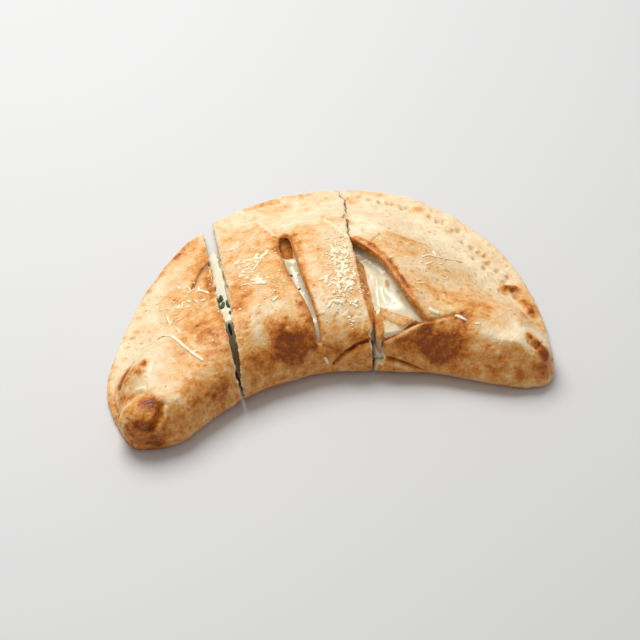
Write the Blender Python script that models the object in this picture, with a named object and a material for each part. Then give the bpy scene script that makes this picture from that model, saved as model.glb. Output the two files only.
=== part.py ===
"""A baked calzone, cut across twice and still lying in its half-moon shape.

The frame is in metres: +X runs from the left tip to the right tip, +Y points from the
rolled fold to the crimped rim, and +Z is up. The flat base lies at Z = 0, and the origin
is under the middle of the bounding box.

The dough is one field of distances, negative inside: a puffed dome over a thin rim.
Rings are traced on that field and lofted into closed bodies. The same field, drawn in by
the thickness of the dough, gives the hollow, and drawn in a little more, the filling.
Booleans then part the loft at the two knife cuts and open the three slits.
"""

import bmesh
import bpy
import numpy as np

# Driving sizes
CROWN_HEIGHT = 0.0352       # top of the dome above the base
CROWN_FALL = 0.006          # how much lower the crown is out towards the tips
CROWN_FALL_SPAN = (0.030, 0.110)
TIP_FALL = 0.003
NOSE_HEIGHT = 0.009         # where the rolled fold bulges furthest forward
FOLD_WIDTH = 0.034          # from the fold's nose to the flat of the dome
FOLD_UNDERCUT = 0.013       # vertical radius of the fold below its nose
RIM_BAND = 0.022            # width of the flat, sealed rim at the middle
RIM_SLOPE = 0.051           # from the rim band up to the flat of the dome
SLOPE_POWER = 1.5           # 1 would be a straight slope, 2 a round one
RIM_EDGE = 0.005            # thickness of the rim at its outer edge
RIM_SWELL = 0.0035          # how much thicker the rim is at the foot of the dome
RIM_SETBACK = 0.006         # the rim sheet stays this far behind the fold's nose
TIP_ROUNDING = 0.016        # rounds the sheet where the rim and the fold meet
TIP_RIM_BAND = 0.003
TIP_SLOPE = 0.017
TIP_FOLD_WIDTH = 0.017
BLEND = 0.007               # fillet between the rim and the dome
FIELD_SCALE = 0.022         # turns the dome's ratio into metres near its surface

TOP_CRUST = 0.0036          # thickness of the baked dough over the filling
BASE_CRUST = 0.0045
FILLING_GAP = 0.0014        # free space between the filling and the dough
FILLING_SAG = 0.0022        # how far the cheese has sunk from the top crust

# Where each tip is, how far its rounding reaches, and its knob of folded dough
LEFT_TIP = (-0.100, -0.0722)
LEFT_TIP_REACH = (0.015, 0.075)
RIGHT_TIP = (0.104, -0.0622)
RIGHT_TIP_REACH = (0.010, 0.060)
LEFT_KNOB = ((-0.0985, -0.0787, 0.0125), (0.0145, 0.0115, 0.0132))
RIGHT_KNOB = ((0.1035, -0.0622, 0.0095), (0.0095, 0.0120, 0.0112))
KNOB_BLEND = 0.008

# The rim from tip to tip, then the rolled fold back again
RIM_LINE = (
    (-0.0970, -0.0937), (-0.1108, -0.0787), (-0.1168, -0.0462), (-0.1062, -0.0107),
    (-0.0880, 0.0263), (-0.0630, 0.0588), (-0.0330, 0.0803), (0.0000, 0.0890),
    (0.0335, 0.0881), (0.0675, 0.0750), (0.0935, 0.0478), (0.1103, 0.0143),
    (0.1168, -0.0252), (0.1152, -0.0602), (0.1085, -0.0787), (0.0980, -0.0854),
)
FOLD_LINE = (
    (0.0790, -0.0774), (0.0430, -0.0622), (0.0080, -0.0544), (-0.0200, -0.0557),
    (-0.0460, -0.0644), (-0.0680, -0.0780), (-0.0830, -0.0900),
)
LINE_STEPS = 8              # points of the smooth outline between two named ones

# The crown sinks along the two long slits: x, depth and half width of each dip
SLIT_DIPS = ((-0.0125, 0.0016, 0.009), (0.0200, 0.0012, 0.010))
DIP_FRONT, DIP_REAR = (-0.0532, -0.0312), (0.0108, 0.0328)

# Knife cuts: the dough's face on each side, from the rim to the fold
LEFT_CUT_OUTER = (
    (-0.0527, 0.0988), (-0.0535, 0.0288), (-0.0545, -0.0212), (-0.0530, -0.0532), (-0.0490, -0.1012),
)
LEFT_CUT_INNER = (
    (-0.0462, 0.0988), (-0.0470, 0.0288), (-0.0480, -0.0312), (-0.0490, -0.0532), (-0.0465, -0.1012),
)
RIGHT_CUT_INNER = (
    (0.0290, 0.0988), (0.0275, 0.0718), (0.0225, 0.0398), (0.0200, 0.0118),
    (0.0190, -0.0262), (0.0202, -0.0462), (0.0192, -0.1012),
)
RIGHT_CUT_OUTER = (
    (0.0298, 0.0988), (0.0283, 0.0718), (0.0233, 0.0398), (0.0208, 0.0118),
    (0.0205, -0.0262), (0.0214, -0.0462), (0.0222, -0.0612), (0.0222, -0.1012),
)

# Where the knife broke a corner off the right section's top crust
BROKEN_CORNER = (
    (0.0180, -0.0362), (0.0262, -0.0372), (0.0264, -0.0502), (0.0240, -0.0652), (0.0180, -0.0652),
)
BROKEN_FLOOR = 0.0105

# Slits through the top crust, as outlines in plan
END_SLIT = ((-0.0500, 0.0373), (-0.0560, 0.0303), (-0.0625, 0.0138), (-0.0605, 0.0133), (-0.0500, 0.0313))
MIDDLE_SLIT = (
    (-0.0130, 0.0228), (-0.0107, 0.0203), (-0.0108, 0.0028), (-0.0103, -0.0132), (-0.0090, -0.0322),
    (-0.0064, -0.0472), (-0.0090, -0.0462), (-0.0120, -0.0312), (-0.0138, -0.0142), (-0.0152, 0.0038),
    (-0.0152, 0.0188),
)
OPEN_SLIT = (
    (0.0180, 0.0118), (0.0222, 0.0103), (0.0278, 0.0033), (0.0338, -0.0072), (0.0368, -0.0178),
    (0.0398, -0.0290), (0.0432, -0.0388), (0.0480, -0.0467), (0.0424, -0.0450), (0.0319, -0.0396),
    (0.0262, -0.0367), (0.0180, -0.0427),
)
SLIT_TOP = 0.060
SLIT_FLOORS = (0.0085, 0.0150, 0.0150)    # each slit ends in the filling's space

# Low relief on the crown: a line in plan, the rise along it and its half width
RELIEF = (
    (OPEN_SLIT[1:8], 0.0018, 0.0050),                                   # rolled lip of the open slit
    (MIDDLE_SLIT[1:6], 0.0009, 0.0045),
    (((-0.0220, -0.0422), (-0.0200, -0.0412)), 0.0018, 0.0080),         # blisters over the fold
    (((0.0560, -0.0552), (0.0640, -0.0562)), 0.0022, 0.0110),
    (((-0.0800, -0.0500), (-0.0690, -0.0100)), -0.0012, 0.0130),        # a sag in the left section
    (((0.0800, -0.0150), (0.0850, 0.0080)), -0.0010, 0.0100),
)

# Melted cheese that still bridges the left cut: the middle filling's face there
PULL_FACE = (
    (-0.0466, 0.0988), (-0.0470, 0.0398), (-0.0528, 0.0348), (-0.0540, -0.0212),
    (-0.0527, -0.0442), (-0.0487, -0.0522), (-0.0465, -0.1012),
)

# Mesh density
DOUGH_STATIONS, DOUGH_RING = 66, 42
HOLLOW_STATIONS, HOLLOW_RING = 38, 28
FILLING_STATIONS, FILLING_RING = 38, 24
DOUGH_RING_HEIGHT = 0.0026  # height of the point that each ring is traced from
INNER_RING_HEIGHT = 0.0085
END_INSET = 0.0022          # the outermost rings, as a share of the length
END_CROWDING = 0.60         # how much closer rings stand towards the ends
RAY_ANGLES = 360
BISECTIONS = 26
RAY_REACH = 0.16
SEARCH_X = np.linspace(-0.118, 0.118, 473)      # where a field's ends and centres are looked for
SEARCH_Y = np.linspace(-0.110, 0.110, 441)
SEARCH_Z = np.linspace(0.0, 0.040, 21)

# Prisms that part the loft reach well past the calzone
REGION_BOTTOM, REGION_TOP = -0.020, 0.070
REGION_END, REGION_SIDE = 0.200, 0.100

DOUGH_COLOUR, DOUGH_ROUGHNESS = (0.78, 0.50, 0.24, 1.0), 0.62
FILLING_COLOUR, FILLING_ROUGHNESS = (0.86, 0.80, 0.62, 1.0), 0.35


def clear_scene():
    """Removes whatever the file holds."""
    for leftover in list(bpy.data.objects):
        bpy.data.objects.remove(leftover, do_unlink=True)


def material(name, colour, roughness):
    """A plain Principled finish."""
    made = bpy.data.materials.new(name)
    made.use_nodes = True
    shader = made.node_tree.nodes["Principled BSDF"]
    shader.inputs["Base Color"].default_value = colour
    shader.inputs["Roughness"].default_value = roughness
    shader.inputs["Metallic"].default_value = 0.0
    return made


# The outline in plan


def smooth_loop(points, steps):
    """A closed Catmull-Rom line through points, with that many steps in each span."""
    p1 = np.array(points, float)
    p0, p2, p3 = np.roll(p1, 1, 0), np.roll(p1, -1, 0), np.roll(p1, -2, 0)
    rows = []
    for t in np.arange(steps) / steps:
        rows.append(
            0.5 * (2 * p1 + (p2 - p0) * t + (2 * p0 - 5 * p1 + 4 * p2 - p3) * t**2
                   + (3 * p1 - p0 - 3 * p2 + p3) * t**3)
        )
    return np.stack(rows, axis=1).reshape(-1, 2)


OUTLINE = smooth_loop(RIM_LINE + FOLD_LINE, LINE_STEPS)
RIM_POINTS = (len(RIM_LINE) - 1) * LINE_STEPS
RIM_CURVE = OUTLINE[: RIM_POINTS + 1]
FOLD_CURVE = np.vstack([OUTLINE[RIM_POINTS:], OUTLINE[:1]])


def distance_to(line, x, y):
    """Distance in plan from each point to an open line."""
    nearest = np.full(x.shape, np.inf)
    for (x1, y1), (x2, y2) in zip(line[:-1], line[1:]):
        dx, dy = x2 - x1, y2 - y1
        along = np.clip(((x - x1) * dx + (y - y1) * dy) / (dx * dx + dy * dy), 0, 1)
        nearest = np.minimum(nearest, np.hypot(x - x1 - along * dx, y - y1 - along * dy))
    return nearest


def inside_outline(x, y):
    """True where a point in plan lies inside the calzone's outline."""
    inside = np.zeros(x.shape, bool)
    for (x1, y1), (x2, y2) in zip(OUTLINE, np.roll(OUTLINE, -1, 0)):
        if y1 != y2:
            inside ^= ((y1 > y) != (y2 > y)) & (x < (x2 - x1) * (y - y1) / (y2 - y1) + x1)
    return inside


def ramp(value, low, high):
    """Rises smoothly from 0 at low to 1 at high."""
    share = np.clip((value - low) / (high - low), 0, 1)
    return share * share * (3 - 2 * share)


def soft_union(a, b, width):
    """Joins two fields with a fillet of that width."""
    share = np.clip(0.5 + 0.5 * (b - a) / width, 0, 1)
    return b * (1 - share) + a * share - width * share * (1 - share)


def knob(x, y, z, centre, radii):
    """Field of an ellipsoid lump of dough."""
    ratio = np.sqrt(sum(((v - c) / r) ** 2 for v, c, r in zip((x, y, z), centre, radii)))
    return (ratio - 1) * min(radii)


def tip_share(x, y):
    """0 over the body of the calzone, rising to 1 at its two tips."""
    left = 1 - ramp(np.hypot(x - LEFT_TIP[0], y - LEFT_TIP[1]), *LEFT_TIP_REACH)
    right = 1 - ramp(np.hypot(x - RIGHT_TIP[0], y - RIGHT_TIP[1]), *RIGHT_TIP_REACH)
    return np.maximum(left, right)


def relief(x, y):
    """Rise of the crown over its smooth form: rolled lips, blisters and sags."""
    return sum(
        rise * np.exp(-((distance_to(line, x, y) / reach) ** 2)) for line, rise, reach in RELIEF
    )


def crown(x, y, tip):
    """Height of the dome's top, lower towards the tips and drawn in along the slits."""
    height = CROWN_HEIGHT - CROWN_FALL * ramp(np.abs(x), *CROWN_FALL_SPAN) - TIP_FALL * tip
    for slit_x, dip, reach in SLIT_DIPS:
        along = ramp(y, *DIP_FRONT) * (1 - ramp(y, *DIP_REAR))
        height = height - dip * along * np.exp(-(((x - slit_x) / reach) ** 2))
    return height


def dome(x, y, z, to_fold, to_rim, tip, rise_here):
    """Field of the puffed part: a quarter round over the fold, a long slope to the rim."""
    fold_width = FOLD_WIDTH + (TIP_FOLD_WIDTH - FOLD_WIDTH) * tip
    band = RIM_BAND + (TIP_RIM_BAND - RIM_BAND) * tip
    slope = RIM_SLOPE + (TIP_SLOPE - RIM_SLOPE) * tip
    over_fold = np.maximum(0, 1 - to_fold / fold_width)
    over_slope = np.maximum(0, 1 - (to_rim - band) / slope)
    lift = np.where(
        z >= NOSE_HEIGHT,
        (z - NOSE_HEIGHT) / (crown(x, y, tip) + rise_here - NOSE_HEIGHT),
        (NOSE_HEIGHT - z) / FOLD_UNDERCUT,
    )
    ratio = np.hypot(lift + over_slope**SLOPE_POWER, over_fold)
    return (ratio - 1) * FIELD_SCALE


def rim(z, to_fold, to_rim):
    """Field of the sealed rim, a thin sheet with a full round edge."""
    thickness = RIM_EDGE + RIM_SWELL * ramp(to_rim, 0, RIM_BAND)
    to_edge = soft_union(to_fold - RIM_SETBACK, to_rim, TIP_ROUNDING)
    beyond = np.maximum(thickness / 2 - to_edge, 0)
    return np.hypot(beyond, z - thickness / 2) - thickness / 2


def plan_distances(x, y):
    """Distances in plan to the fold and to the rim, negative outside the outline."""
    side = np.where(inside_outline(x, y), 1.0, -1.0)
    return side * distance_to(FOLD_CURVE, x, y), side * distance_to(RIM_CURVE, x, y)


def dough_field(x, y, z, plan):
    """The whole calzone, as if it held no filling."""
    to_fold, to_rim = plan[:2]
    body = dome(x, y, z, *plan)
    for lump in (LEFT_KNOB, RIGHT_KNOB):
        body = soft_union(body, knob(x, y, z, *lump), KNOB_BLEND)
    body = soft_union(body, rim(z, to_fold, to_rim), BLEND)
    return np.maximum(body, -z)


def hollow_field(x, y, z, plan):
    """The space inside the dough."""
    return np.maximum(dome(x, y, z, *plan) + TOP_CRUST, BASE_CRUST - z)


def filling_field(x, y, z, plan):
    """What fills that space, sunk a little under the top crust."""
    sides = dome(x, y, z, *plan) + TOP_CRUST + FILLING_GAP
    ceiling = z - (crown(x, y, plan[2]) + np.minimum(plan[3], 0) - TOP_CRUST - FILLING_SAG)
    return np.maximum(np.maximum(sides, ceiling), BASE_CRUST + FILLING_GAP - z)


# Lofts


class PlanMap:
    """Distances, tip shares and relief on a fine grid, read between its points."""

    STEP, MARGIN = 0.001, 0.020

    def __init__(self):
        low, high = OUTLINE.min(0) - self.MARGIN, OUTLINE.max(0) + self.MARGIN
        self.low = low
        self.size = np.ceil((high - low) / self.STEP).astype(int)
        x = low[0] + self.STEP * np.arange(self.size[0])
        y = low[1] + self.STEP * np.arange(self.size[1])
        grid_x, grid_y = np.meshgrid(x, y, indexing="ij")
        self.layers = [
            *plan_distances(grid_x, grid_y), tip_share(grid_x, grid_y), relief(grid_x, grid_y)
        ]

    def at(self, x, y):
        """The layers at any points, by bilinear reading."""
        column = np.clip((x - self.low[0]) / self.STEP, 0, self.size[0] - 1.001)
        row = np.clip((y - self.low[1]) / self.STEP, 0, self.size[1] - 1.001)
        i, j = column.astype(int), row.astype(int)
        u, v = column - i, row - j
        return [
            (a[i, j] * (1 - u) + a[i + 1, j] * u) * (1 - v)
            + (a[i, j + 1] * (1 - u) + a[i + 1, j + 1] * u) * v
            for a in self.layers
        ]


def traced_ring(field, plan_map, x, centre_y, centre_z, count):
    """Points on the field's surface in the plane at x, evenly spaced round the ring."""
    angle = np.linspace(0, 2 * np.pi, RAY_ANGLES, endpoint=False)
    ray_y, ray_z = np.cos(angle), np.sin(angle)
    near, far = np.zeros(RAY_ANGLES), np.full(RAY_ANGLES, RAY_REACH)
    for _ in range(BISECTIONS):
        middle = (near + far) / 2
        y, z = centre_y + ray_y * middle, centre_z + ray_z * middle
        across = np.full(RAY_ANGLES, x)
        inside = field(across, y, z, plan_map.at(across, y)) < 0
        near, far = np.where(inside, middle, near), np.where(inside, far, middle)
    ring = np.stack([centre_y + ray_y * near, centre_z + ray_z * near], axis=1)
    closed = np.vstack([ring, ring[:1]])
    walked = np.concatenate([[0], np.cumsum(np.hypot(*np.diff(closed, axis=0).T))])
    stops = walked[-1] * np.arange(count) / count
    return [(x, np.interp(s, walked, closed[:, 0]), np.interp(s, walked, closed[:, 1])) for s in stops]


def section_centre(field, plan_map, x, height):
    """The y of the section's centroid in the plane at x, or None where the field has ended."""
    y, z = np.meshgrid(SEARCH_Y, [height, *SEARCH_Z], indexing="ij")
    across = np.full(y.shape, x)
    inside = field(across, y, z, plan_map.at(across, y)) < 0
    weight = inside.sum(axis=1) * inside[:, 0]
    return (weight * y[:, 0]).sum() / weight.sum() if weight.any() else None


def loft(name, field, plan_map, stations, count, height):
    """A closed body of rings traced at stations along X, from end to end of the field."""
    found = [x for x in SEARCH_X if section_centre(field, plan_map, x, height) is not None]
    low, high = found[0], found[-1]
    even = np.linspace(END_INSET, 1 - END_INSET, stations)
    crowded = (1 - np.cos(np.pi * even)) / 2
    places = low + (high - low) * (even * (1 - END_CROWDING) + crowded * END_CROWDING)
    bm = bmesh.new()
    rings = []
    for place in places:
        centre = section_centre(field, plan_map, place, height)
        ring = traced_ring(field, plan_map, place, centre, height, count)
        rings.append([bm.verts.new(point) for point in ring])
    for first, second in zip(rings[:-1], rings[1:]):
        for k in range(count):
            n = (k + 1) % count
            bm.faces.new((first[k], first[n], second[n], second[k]))
    for ring in (rings[0], rings[-1]):
        bm.faces.new(ring)
    bmesh.ops.triangulate(bm, faces=bm.faces)
    bmesh.ops.recalc_face_normals(bm, faces=bm.faces)
    mesh = bpy.data.meshes.new(name)
    bm.to_mesh(mesh)
    bm.free()
    return mesh


def prism(name, outline, low, high):
    """A cutter: a plan outline extruded from low to high."""
    bm = bmesh.new()
    base = bm.faces.new([bm.verts.new((x, y, low)) for x, y in outline])
    extruded = bmesh.ops.extrude_face_region(bm, geom=[base])["geom"]
    raised = [made for made in extruded if isinstance(made, bmesh.types.BMVert)]
    bmesh.ops.translate(bm, vec=(0, 0, high - low), verts=raised)
    bmesh.ops.recalc_face_normals(bm, faces=bm.faces)
    mesh = bpy.data.meshes.new(name)
    bm.to_mesh(mesh)
    bm.free()
    return helper(name, mesh)


def helper(name, mesh):
    """An object that only shapes others."""
    made = bpy.data.objects.new(name, mesh)
    bpy.context.scene.collection.objects.link(made)
    made.hide_render = True
    made.display_type = "WIRE"
    return made


def piece(name, mesh, finish):
    """A named solid of the calzone."""
    made = bpy.data.objects.new(name, mesh.copy())
    made.data.name = name
    made.data.materials.append(finish)
    bpy.context.scene.collection.objects.link(made)
    return made


def shape_with(target, other, operation):
    """Adds one exact Boolean to target."""
    modifier = target.modifiers.new(f"{operation.lower()} {other.name}", "BOOLEAN")
    modifier.operation = operation
    modifier.object = other
    modifier.solver = "EXACT"


def section_outline(left_face, right_face):
    """The plan of a section between two cut faces, each given from the rim to the fold."""
    return list(left_face) + list(reversed(right_face))


def main():
    """Builds the three sections of dough and their filling."""
    clear_scene()
    plan_map = PlanMap()
    dough_finish = material("baked_dough", DOUGH_COLOUR, DOUGH_ROUGHNESS)
    filling_finish = material("melted_cheese", FILLING_COLOUR, FILLING_ROUGHNESS)

    dough = loft("dough_loft", dough_field, plan_map, DOUGH_STATIONS, DOUGH_RING, DOUGH_RING_HEIGHT)
    hollow = helper(
        "hollow", loft("hollow", hollow_field, plan_map, HOLLOW_STATIONS, HOLLOW_RING, INNER_RING_HEIGHT)
    )
    filling = loft(
        "filling_loft", filling_field, plan_map, FILLING_STATIONS, FILLING_RING, INNER_RING_HEIGHT
    )

    far_left = ((-REGION_END, REGION_SIDE), (-REGION_END, -REGION_SIDE))
    far_right = ((REGION_END, REGION_SIDE), (REGION_END, -REGION_SIDE))
    sections = {
        "left": section_outline(far_left, LEFT_CUT_OUTER),
        "middle": section_outline(LEFT_CUT_INNER, RIGHT_CUT_INNER),
        "right": section_outline(RIGHT_CUT_OUTER, far_right),
    }
    slits = {
        name: prism(f"slit_{name}", outline, floor, SLIT_TOP)
        for name, outline, floor in zip(sections, (END_SLIT, MIDDLE_SLIT, OPEN_SLIT), SLIT_FLOORS)
    }
    broken = prism("broken_corner", BROKEN_CORNER, BROKEN_FLOOR, SLIT_TOP)
    regions = {
        name: prism(f"section_{name}", outline, REGION_BOTTOM, REGION_TOP)
        for name, outline in sections.items()
    }
    bridging = prism(
        "section_bridging", section_outline(PULL_FACE, RIGHT_CUT_INNER), REGION_BOTTOM, REGION_TOP
    )
    for name, region in regions.items():
        crust = piece(f"crust_{name}", dough, dough_finish)
        shape_with(crust, region, "INTERSECT")
        shape_with(crust, hollow, "DIFFERENCE")
        shape_with(crust, slits[name], "DIFFERENCE")
        if name == "right":
            shape_with(crust, broken, "DIFFERENCE")
        stuffing = piece(f"filling_{name}", filling, filling_finish)
        shape_with(stuffing, bridging if name == "middle" else region, "INTERSECT")


main()
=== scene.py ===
"""Looks of a baked calzone in three cut sections: dough, melted cheese, spinach and grated cheese.

Sizes are millimetres until a mesh is made, which Blender holds in metres. +X runs from the
left tip to the right tip, +Y from the rolled fold to the sealed rim, and +Z is up. Each
section of dough is a field, negative inside, that a surface net turns into a fine mesh.
"""

import itertools
import logging
import math
from dataclasses import dataclass, field
from enum import Enum

import bpy
import numpy as np
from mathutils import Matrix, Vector
from mathutils.bvhtree import BVHTree


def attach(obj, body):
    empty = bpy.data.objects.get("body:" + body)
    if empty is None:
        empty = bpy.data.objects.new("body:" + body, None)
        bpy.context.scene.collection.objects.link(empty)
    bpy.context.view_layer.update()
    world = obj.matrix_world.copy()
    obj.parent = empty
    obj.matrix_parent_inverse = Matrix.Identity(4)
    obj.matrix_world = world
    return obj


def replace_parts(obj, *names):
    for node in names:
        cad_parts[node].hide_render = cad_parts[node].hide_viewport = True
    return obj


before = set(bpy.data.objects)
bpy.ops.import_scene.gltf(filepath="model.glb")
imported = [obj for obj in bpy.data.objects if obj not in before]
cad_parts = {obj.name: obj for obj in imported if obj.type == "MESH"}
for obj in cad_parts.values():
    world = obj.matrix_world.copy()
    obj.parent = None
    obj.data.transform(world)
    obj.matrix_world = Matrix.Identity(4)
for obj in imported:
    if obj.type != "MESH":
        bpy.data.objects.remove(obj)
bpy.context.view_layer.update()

MM = 0.001
STEP = 0.55
SEED = 11
LOG = logging.getLogger("calzone")
Layers = dict[str, np.ndarray]


class Slot(Enum):
    """Material slot names."""

    CRUST = "baked_crust"
    CHEESE = "melted_cheese"


# Shapes in plan and smooth steps


def ramp(value: np.ndarray, low: float, high: float) -> np.ndarray:
    """Rises smoothly from 0 at low to 1 at high.

    Args:
        value: what is measured.
        low: where the rise begins.
        high: where it ends; it may lie below low.

    Returns:
        The share reached at each value.
    """
    share = np.clip((value - low) / (high - low), 0, 1)
    return share * share * (3 - 2 * share)


def soft_union(a: np.ndarray, b: np.ndarray, width: float) -> np.ndarray:
    """Joins two fields with a fillet.

    Args:
        a: the first field.
        b: the second field.
        width: how wide the fillet is.

    Returns:
        The joined field.
    """
    share = np.clip(0.5 + 0.5 * (b - a) / width, 0, 1)
    return b * (1 - share) + a * share - width * share * (1 - share)


def soft_cut(a: np.ndarray, b: np.ndarray, width: float) -> np.ndarray:
    """Keeps what is inside both fields, with a rounded edge of that width."""
    return -soft_union(-a, -b, width)


def smooth_line(points: tuple, steps: int, closed: bool = False) -> np.ndarray:
    """Draws a Catmull-Rom line through points.

    Args:
        points: the named points, in plan or in space.
        steps: how many steps each span gets.
        closed: whether the line runs back to its start.

    Returns:
        The line's points, one row each.
    """
    row = np.array(points, float)
    if closed:
        row = np.vstack([row[-1:], row, row[:2]])
    else:
        row = np.vstack([2 * row[:1] - row[1:2], row, 2 * row[-1:] - row[-2:-1]])
    p0, p1, p2, p3 = row[:-3], row[1:-2], row[2:-1], row[3:]
    spans = [
        0.5 * (2 * p1 + (p2 - p0) * t + (2 * p0 - 5 * p1 + 4 * p2 - p3) * t**2
               + (3 * p1 - p0 - 3 * p2 + p3) * t**3)
        for t in np.arange(steps) / steps
    ]
    drawn = np.stack(spans, axis=1).reshape(-1, row.shape[1])
    return drawn if closed else np.vstack([drawn, row[-2:-1]])


def distance_to(line: np.ndarray, at: np.ndarray) -> np.ndarray:
    """Measures how far points are from an open line.

    Args:
        line: the line's points, in plan or in space.
        at: the points to measure from, with as many coordinates.

    Returns:
        One distance for each point.
    """
    if len(line) == 1:
        return np.sqrt(((at - line[0]) ** 2).sum(1))
    nearest = np.full(len(at), np.inf)
    for start, end in zip(line[:-1], line[1:]):
        step = end - start
        share = np.clip((at - start) @ step / (step @ step), 0, 1)
        gap = at - start - share[:, None] * step
        nearest = np.minimum(nearest, (gap * gap).sum(1))
    return np.sqrt(nearest)


def signed_distance(outline: np.ndarray, at: np.ndarray) -> np.ndarray:
    """Measures how far points in plan are from a closed outline.

    Args:
        outline: the outline's corners.
        at: the points to measure from.

    Returns:
        One distance for each point, negative inside the outline.
    """
    inside = np.zeros(len(at), bool)
    x, y = at.T
    for (x1, y1), (x2, y2) in zip(outline, np.roll(outline, -1, 0)):
        if y1 != y2:
            inside ^= ((y1 > y) != (y2 > y)) & (x < (x2 - x1) * (y - y1) / (y2 - y1) + x1)
    return np.where(inside, -1, 1) * distance_to(np.vstack([outline, outline[:1]]), at)


def plan_gap(outline: tuple, x: np.ndarray, y: np.ndarray, beyond: float = 6.0) -> np.ndarray:
    """Measures a grid's distance to an outline in plan, near the outline alone.

    Args:
        outline: the outline's corners.
        x: the grid's places along X, on its first axis.
        y: the grid's places along Y, on its second axis.
        beyond: the distance given to every point further out.

    Returns:
        The distances, shaped to meet a column of heights.
    """
    corners = np.array(outline, float)
    low, high = corners.min(0) - beyond, corners.max(0) + beyond
    gap = np.full((x.shape[0], y.shape[1], 1), beyond, np.float32)
    rows = np.flatnonzero((x.ravel() > low[0]) & (x.ravel() < high[0]))
    columns = np.flatnonzero((y.ravel() > low[1]) & (y.ravel() < high[1]))
    if len(rows) and len(columns):
        near = np.ix_(rows, columns, [0])
        at = np.stack(np.meshgrid(x.ravel()[rows], y.ravel()[columns], indexing="ij"), -1).reshape(-1, 2)
        gap[near] = np.minimum(signed_distance(corners, at), beyond).reshape(len(rows), len(columns), 1)
    return gap


class Noise:
    """Smooth random values in space, the same on each run."""

    def __init__(self, seed: int, cells: int = 40) -> None:
        """Draws the lattice.

        Args:
            seed: picks the random values.
            cells: how many cells pass before the values repeat.
        """
        self.cells = cells
        self.lattice = np.random.default_rng(seed).uniform(-1, 1, (cells,) * 3).astype(np.float32)

    def at(self, points: np.ndarray, size: float) -> np.ndarray:
        """Reads the values between lattice points.

        Args:
            points: places in space.
            size: millimetres from one lattice point to the next.

        Returns:
            A value from -1 to 1 for each point.
        """
        place = points / size + 0.37 * self.cells
        cell = np.floor(place).astype(int)
        part = place - cell
        part = part * part * (3 - 2 * part)
        total = np.zeros(len(points))
        for corner in itertools.product((0, 1), repeat=3):
            i, j, k = ((cell + corner) % self.cells).T
            weight = np.where(corner, part, 1 - part).prod(axis=1)
            total += weight * self.lattice[i, j, k]
        return total

    def fractal(self, points: np.ndarray, size: float, octaves: int = 3) -> np.ndarray:
        """Adds finer and weaker noise to the first.

        Args:
            points: places in space.
            size: millimetres from one lattice point to the next in the coarsest noise.
            octaves: how many noises are added.

        Returns:
            A value of about -1 to 1 for each point.
        """
        return sum(self.at(points + 17.3 * n, size / 2**n) / 2**n for n in range(octaves)) / 1.4

    def tops(self, points: np.ndarray, size: float, level: float) -> np.ndarray:
        """Keeps only what stands above a level, and 0 elsewhere."""
        return np.clip(self.at(points, size) - level, 0, 1)


# The form of the dough


@dataclass(frozen=True)
class Swell:
    """A low rise of the crown along a line in plan."""

    line: tuple
    rise: float
    reach: float


@dataclass(frozen=True)
class Slit:
    """A slit through the top crust: its outline in plan, and how its walls run."""

    outline: tuple
    floor: float
    lip: float = 4.0
    lean: float = 0.0


OPEN_SLIT = (
    (18.0, 11.8), (22.2, 10.3), (27.8, 3.3), (33.8, -7.2), (36.8, -17.8), (39.8, -29.0),
    (43.2, -38.8), (48.0, -46.7), (42.4, -45.0), (31.9, -39.6), (26.2, -36.7), (18.0, -42.7),
)
MIDDLE_SLIT = (
    (-14.2, 27.5), (-11.6, 25.0), (-11.2, 12.0), (-10.6, 0.0), (-9.4, -14.0), (-8.0, -26.0),
    (-6.6, -38.0), (-6.0, -46.0), (-6.7, -45.0), (-7.4, -36.0), (-9.6, -26.0), (-12.6, -14.0),
    (-14.9, -2.0), (-15.9, 8.0), (-16.2, 20.0),
)
END_SLIT = (
    (-50.0, 35.9), (-55.4, 31.6), (-61.3, 21.8), (-65.2, 11.8), (-64.7, 11.6), (-60.3, 20.9),
    (-54.2, 29.4), (-50.0, 33.4),
)
BROKEN_CORNER = ((18.0, -36.2), (26.2, -37.2), (26.4, -50.2), (24.0, -65.2), (18.0, -65.2))
RIM_LINE = (
    (-97.0, -93.7), (-110.8, -78.7), (-116.8, -46.2), (-106.2, -10.7), (-88.0, 26.3), (-63.0, 58.8),
    (-33.0, 80.3), (0.0, 89.0), (33.5, 88.1), (67.5, 75.0), (93.5, 47.8), (110.3, 14.3),
    (116.8, -25.2), (115.2, -60.2), (108.5, -78.7), (98.0, -85.4),
)
FOLD_LINE = (
    (79.0, -77.4), (43.0, -62.2), (8.0, -54.4), (-20.0, -55.7), (-46.0, -64.4), (-68.0, -78.0),
    (-83.0, -90.0),
)


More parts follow.
